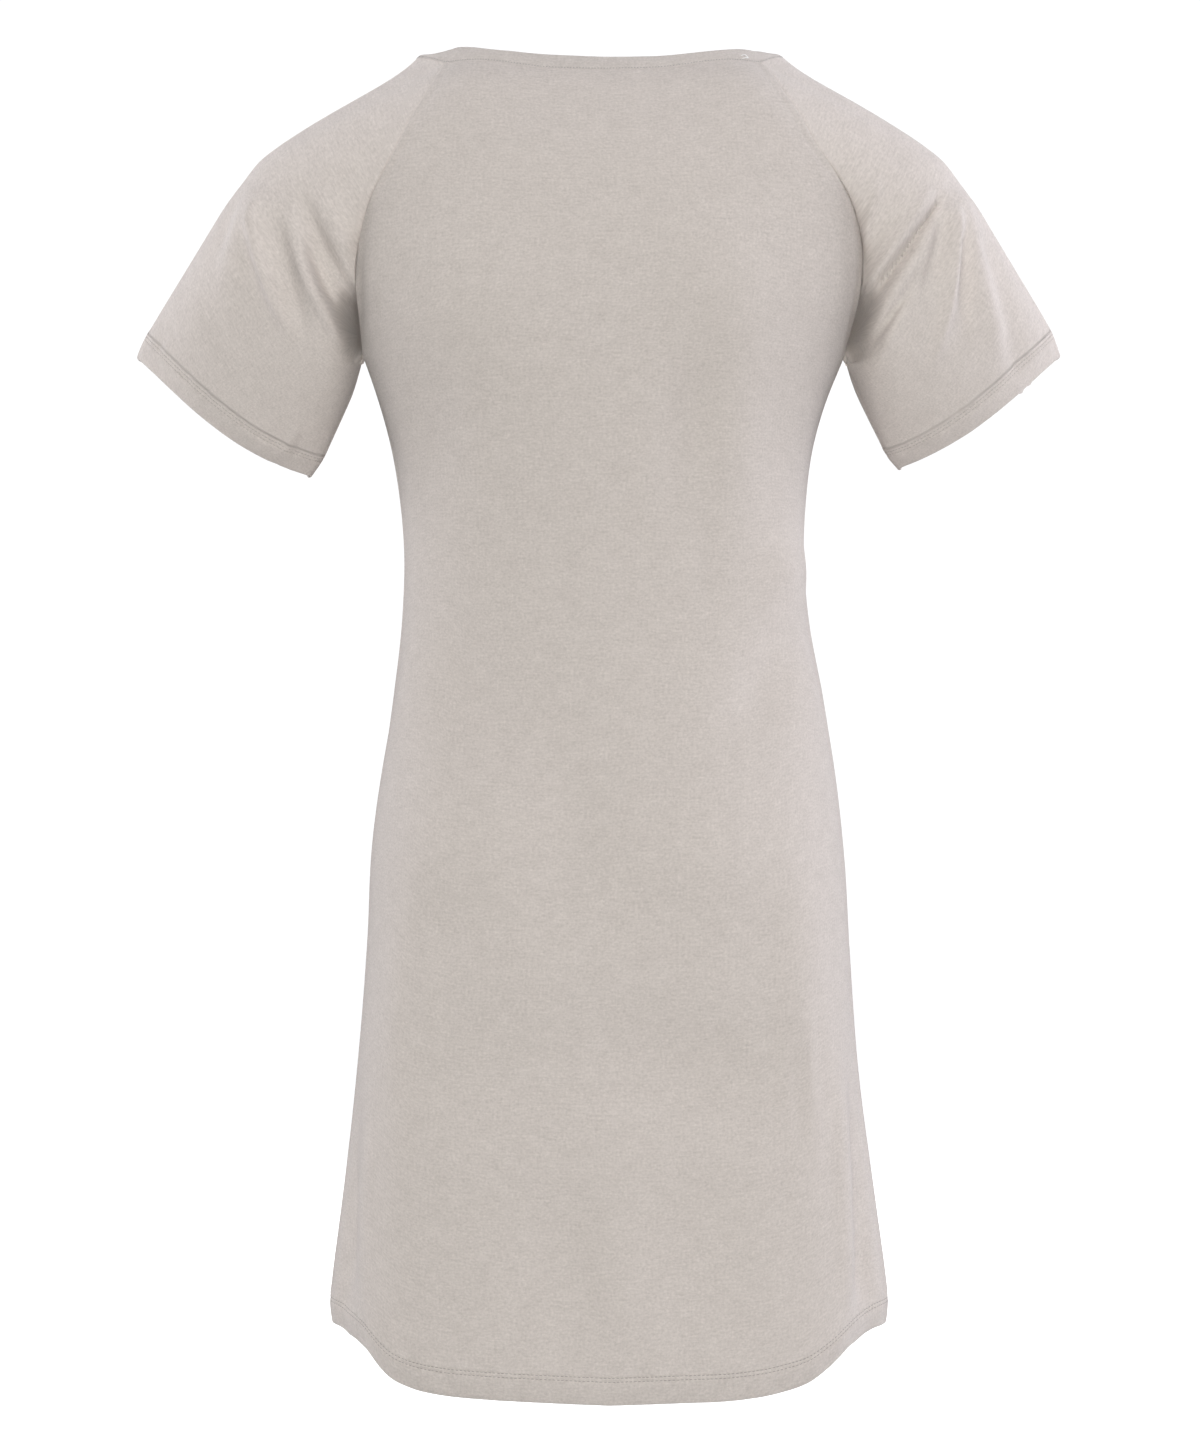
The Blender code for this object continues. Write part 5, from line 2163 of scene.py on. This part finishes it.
FRONT = DressPanel(
    face=Face.FRONT,
    node="front_panel",
    name="front_cloth",
    hem=0.860,
    folds=creases(
        Face.FRONT, Push.LEVEL,
        (150, 710, 158, 790, 164, 870, 12, 10, 0.9, 0, 0, 0, 13),
        (-152, 695, -159, 790, -165, 870, 12, 11, 0.9, 0, 0, 0, 13),
    ),
    creases=creases(
        Face.FRONT, Push.SQUARE,
        (96, 620, 99, 665, 97, 715, 4.5, 0.9),
        (116, 590, 119, 650, 121, 720, 5.5, 1.1, 0.4, 0.4, 0, 0.4),
        (-105, 600, -108, 655, -107, 715, 5, 1),
        (-122, 650, -124, 700, -126, 745, 4, 0.8, 0.4, 0.4, 0, 0.4),
        (30, 275, 26, 310, 28, 350, 8, -0.8),
        (-18, 268, -22, 305, -19, 345, 7.5, -0.8),
        (118, 225, 98, 240, 78, 262, 7.5, 1.6, 0.2, 0.6),
        (-120, 222, -99, 243, -80, 270, 7, 1.5, 0.2, 0.6),
    ),
    swells=swells(
        (70, 190, 40, 45, 6.8, -8, 0.35),
        (-72, 188, 42, 46, 7.1, 10, 0.35),
        (0, 215, 20, 55, -4.4, 2),
        (100, 372, 16, 36, -5.1, 32),
        (-96, 390, 16, 42, -5.1, -34),
        (12, 480, 60, 60, 5.4, 4, 0.3),
        (70, 610, 50, 30, -3.4, 14),
        (-60, 620, 50, 30, -3.7, -12),
        (112, 640, 16, 95, 4.1, -3),
        (-114, 630, 16, 90, 4.1, 3),
        (-36, 770, 32, 60, -2.6, 6),
        (50, 775, 30, 65, -2.6, -5),
    ),
    seed=2,
)
LEFT_SLEEVE = RaglanSleeve(
    side=Side.LEFT,
    node="sleeve_left",
    name="left_sleeve_cloth",
    shoulder=SleeveRing(0.2295, 0.074, 0.1705, 0.229, 0.006, 0.062, 0.05),
    cuff=SleeveRing(0.3205, 0.199, 0.1975, 0.283, 0.030, 0.041, 0.25, 0.38),
    folds=creases(
        Face.BACK, Push.LEVEL,
        (161, 165, 161.2, 188, 157, 208, 7.8, 80, 0.24, 0.1, 0, 0, 1),
        (198.5, 90, 182.2, 137.2, 159, 177, 5.8, 8.2, 0.6, 0, 0.5, 0.4, 2),
        (196, 130, 178.5, 173, 161.5, 195.5, 4.2, 8.8, 0.3, 0, -0.4, 0.5, 2),
    ) + creases(
        Face.FRONT, Push.LEVEL,
        (202, 100, 185, 138, 165, 174, 7, 8, 0.5, 0, 0.3, 0.4, 3),
        (222, 125, 212, 165, 196, 200, 10, 4, 0.4, 0.4, 0, 0, 13),
        (165, 160, 166, 188, 160, 209, 5, 4, 0.3, 0, 0, 0, 1.5),
    ),
    creases=creases(
        Face.BACK, Push.SQUARE,
        (218, 96, 245, 145, 284, 213, 25, -5.2, 0.3, 0.2),
        (226.3, 95.1, 239.5, 148, 244, 205, 10, -3.6, 0.15, 0.55),
        (234.5, 101, 246, 131, 256, 166, 7.5, 3.4, 0.2, 0.6),
        (224.5, 103, 218.7, 157.2, 197.4, 206.6, 4.2, -6, 0.2, 0.4),
        (213, 110, 206, 160, 188, 208, 7.5, 5, 0.3, 0.4),
        (203.5, 250, 211.5, 263.3, 223.1, 275, 2.6, -1.3, 0.2, 0.15),
        (199, 256, 206, 268, 215, 279, 4.5, 0.8, 0.3, 0.6),
        (258, 222.5, 262.2, 229, 267.2, 235, 2, 1, 0.3, 0.3, 0, 0.5),
        (272.8, 213.5, 275.7, 219, 278.3, 224.5, 2, 0.9, 0.3, 0.3, 0, 0.5),
        (295, 191, 297.2, 196, 299, 201, 3, 1, 0.3, 0.3, 0, 0.5),
    ) + creases(
        Face.FRONT, Push.SQUARE,
        (227, 100, 236, 150, 240, 203, 9.5, -4, 0.2, 0.55),
        (223, 108, 215, 158, 196, 206, 4.2, -3.2, 0.25, 0.45),
        (218, 112, 208, 160, 188, 204, 6, 4, 0.3, 0.45),
        (248, 118, 260, 162, 264, 205, 7, 2.6, 0.4, 0.5, 0, 0.4),
    ),
    seed=3,
)
RIGHT_SLEEVE = RaglanSleeve(
    side=Side.RIGHT,
    node="sleeve_right",
    name="right_sleeve_cloth",
    shoulder=SleeveRing(0.2235, 0.074, 0.1690, 0.229, 0.006, 0.062, 0.05),
    cuff=SleeveRing(0.3105, 0.198, 0.1955, 0.278, 0.030, 0.041, 0.20, 0.38),
    folds=creases(
        Face.BACK, Push.LEVEL,
        (-165.5, 162, -162, 186, -156.5, 207.5, 7.4, 85, 0.26, 0.1, 0, 0, 1),
        (-218.5, 101, -193.8, 140, -167.5, 176.5, 3.8, 8, 0.2, 0, -0.4, 0.6, 2),
        (-206, 144, -188, 180, -167, 203, 5, 5.6, 0.4, 0, -0.3, 0.45, 2),
    ) + creases(
        Face.FRONT, Push.LEVEL,
        (-204, 96, -187, 134, -166, 170, 6.8, 7.8, 0.5, 0, -0.25, 0.35, 3),
        (-194, 156, -180, 180, -167, 196, 6.5, 5.5, 0.5, 0, 0, 0, 3),
        (-166, 155, -167, 184, -161, 209, 5, 4, 0.3, 0, 0, 0, 1.5),
    ),
    creases=creases(
        Face.BACK, Push.SQUARE,
        (-213, 96, -239, 145, -277, 212, 25, -5.2, 0.3, 0.2),
        (-176.5, 95, -170.5, 118, -168, 143, 2.6, -2.2, 0.3, 0.2, 0, 0, 3),
        (-216.5, 113, -212, 150, -198, 190, 4.8, 4.2, 0.25, 0.45),
        (-221.9, 106, -221.5, 165, -212, 225, 4.4, -6.2, 0.2, 0.45),
        (-229, 118, -231, 160, -233, 215, 4.8, 4.4, 0.3, 0.45),
        (-227.8, 97, -242, 152, -260, 222, 6.6, -2.8, 0.12, 0.25),
        (-239, 118, -257, 168.2, -279, 229, 8.5, 3, 0.25, 0.2),
        (-199, 164, -187.7, 189.4, -176, 208, 4.2, -2.6, 0.35, 0.3),
        (-230.2, 234, -231.8, 239.5, -233.6, 245, 1.9, 1.1, 0.3, 0.3, 0, 0.5),
        (-212, 246, -212.8, 250.5, -213.6, 255, 2.2, 0.8, 0.3, 0.3, 0, 0.5),
    ) + creases(
        Face.FRONT, Push.SQUARE,
        (-226, 100, -234, 152, -252, 218, 7.5, -4.6, 0.18, 0.35),
        (-219, 106, -219, 154, -208, 210, 4.2, -3.6, 0.25, 0.45),
        (-215, 112, -213, 150, -201, 202, 5.5, 3.8, 0.3, 0.45),
        (-240, 125, -256, 175, -272, 226, 8, 3.6, 0.35, 0.4, 0, 0.3),
    ),
    seed=4,
)


def main() -> None:
    """Builds the dress and the studio round it."""
    logging.basicConfig(level=logging.INFO, format="%(name)s: %(message)s")
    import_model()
    jersey = JerseyFinish("heather_jersey", (0.680, 0.622, 0.582), (0.440, 0.398, 0.368)).material()
    # The sleeves use a lighter copy of the body's jersey. This is painted light: it stands in for the
    # extra light on the sleeves' upturned shoulders, since the cloth is the same.
    sleeve_jersey_painted_lighter = JerseyFinish(
        "heather_jersey_sleeve_painted_light", (0.735, 0.673, 0.632), (0.487, 0.441, 0.411), 0.014
    ).material()
    band_jersey = JerseyFinish(
        "heather_jersey_band", (0.650, 0.598, 0.565), (0.430, 0.392, 0.366), 0.0012, 0.2 * MM
    ).material()
    thread = ThreadFinish("tonal_thread", (0.40, 0.365, 0.34)).material()
    hem_thread = ThreadFinish("hem_thread", (0.25, 0.228, 0.212)).material()
    grey_thread = ThreadFinish("grey_thread", (0.27, 0.26, 0.26)).material()
    tail_thread = ThreadFinish("white_thread", (0.86, 0.86, 0.85)).material()
    seams, sewing, binding = RaglanSeams(), Sewing(), NeckBinding()
    sleeves = (LEFT_SLEEVE, RIGHT_SLEEVE)
    neck = NeckLoop.around((BACK, FRONT), seams, BodyForm())
    ways = {sleeve.side: sleeve.seam_ways(neck) for sleeve in sleeves}
    shells = {}
    for panel in (BACK, FRONT):
        beside = {
            sleeve.side: sleeve.ways_for(panel.face, ways[sleeve.side]) for sleeve in sleeves
        }
        shells[panel.name] = panel.shell(neck, beside)
        piece = shells[panel.name].build(jersey)
    for sleeve in sleeves:
        shells[sleeve.name] = sleeve.shell(ways[sleeve.side])
        piece = shells[sleeve.name].build(sleeve_jersey_painted_lighter)
    band = binding.build(neck, band_jersey)
    panel_shells = (shells["back_cloth"], shells["front_cloth"])
    sleeve_shells = (shells["left_sleeve_cloth"], shells["right_sleeve_cloth"])
    HemSewing("hem_stitches", sewing.body).build(panel_shells, hem_thread)
    HemSewing("cuff_stitches", sewing.cuff).build(sleeve_shells, thread)
    InsideSeams(jersey, thread).build(shells, seams)
    ThreadEnds().build(neck, binding, tail_thread)
    neck_stitches = Stitches(pitch=1.95 * MM, long=1.0 * MM, radius=0.19 * MM)
    row = neck_stitches.row(binding.stitch_line(neck), joined(neck.outward), 5)
    stitch_piece("neck_stitches", [row], grey_thread)
    Studio().build()


if __name__ == "__main__":
    main()
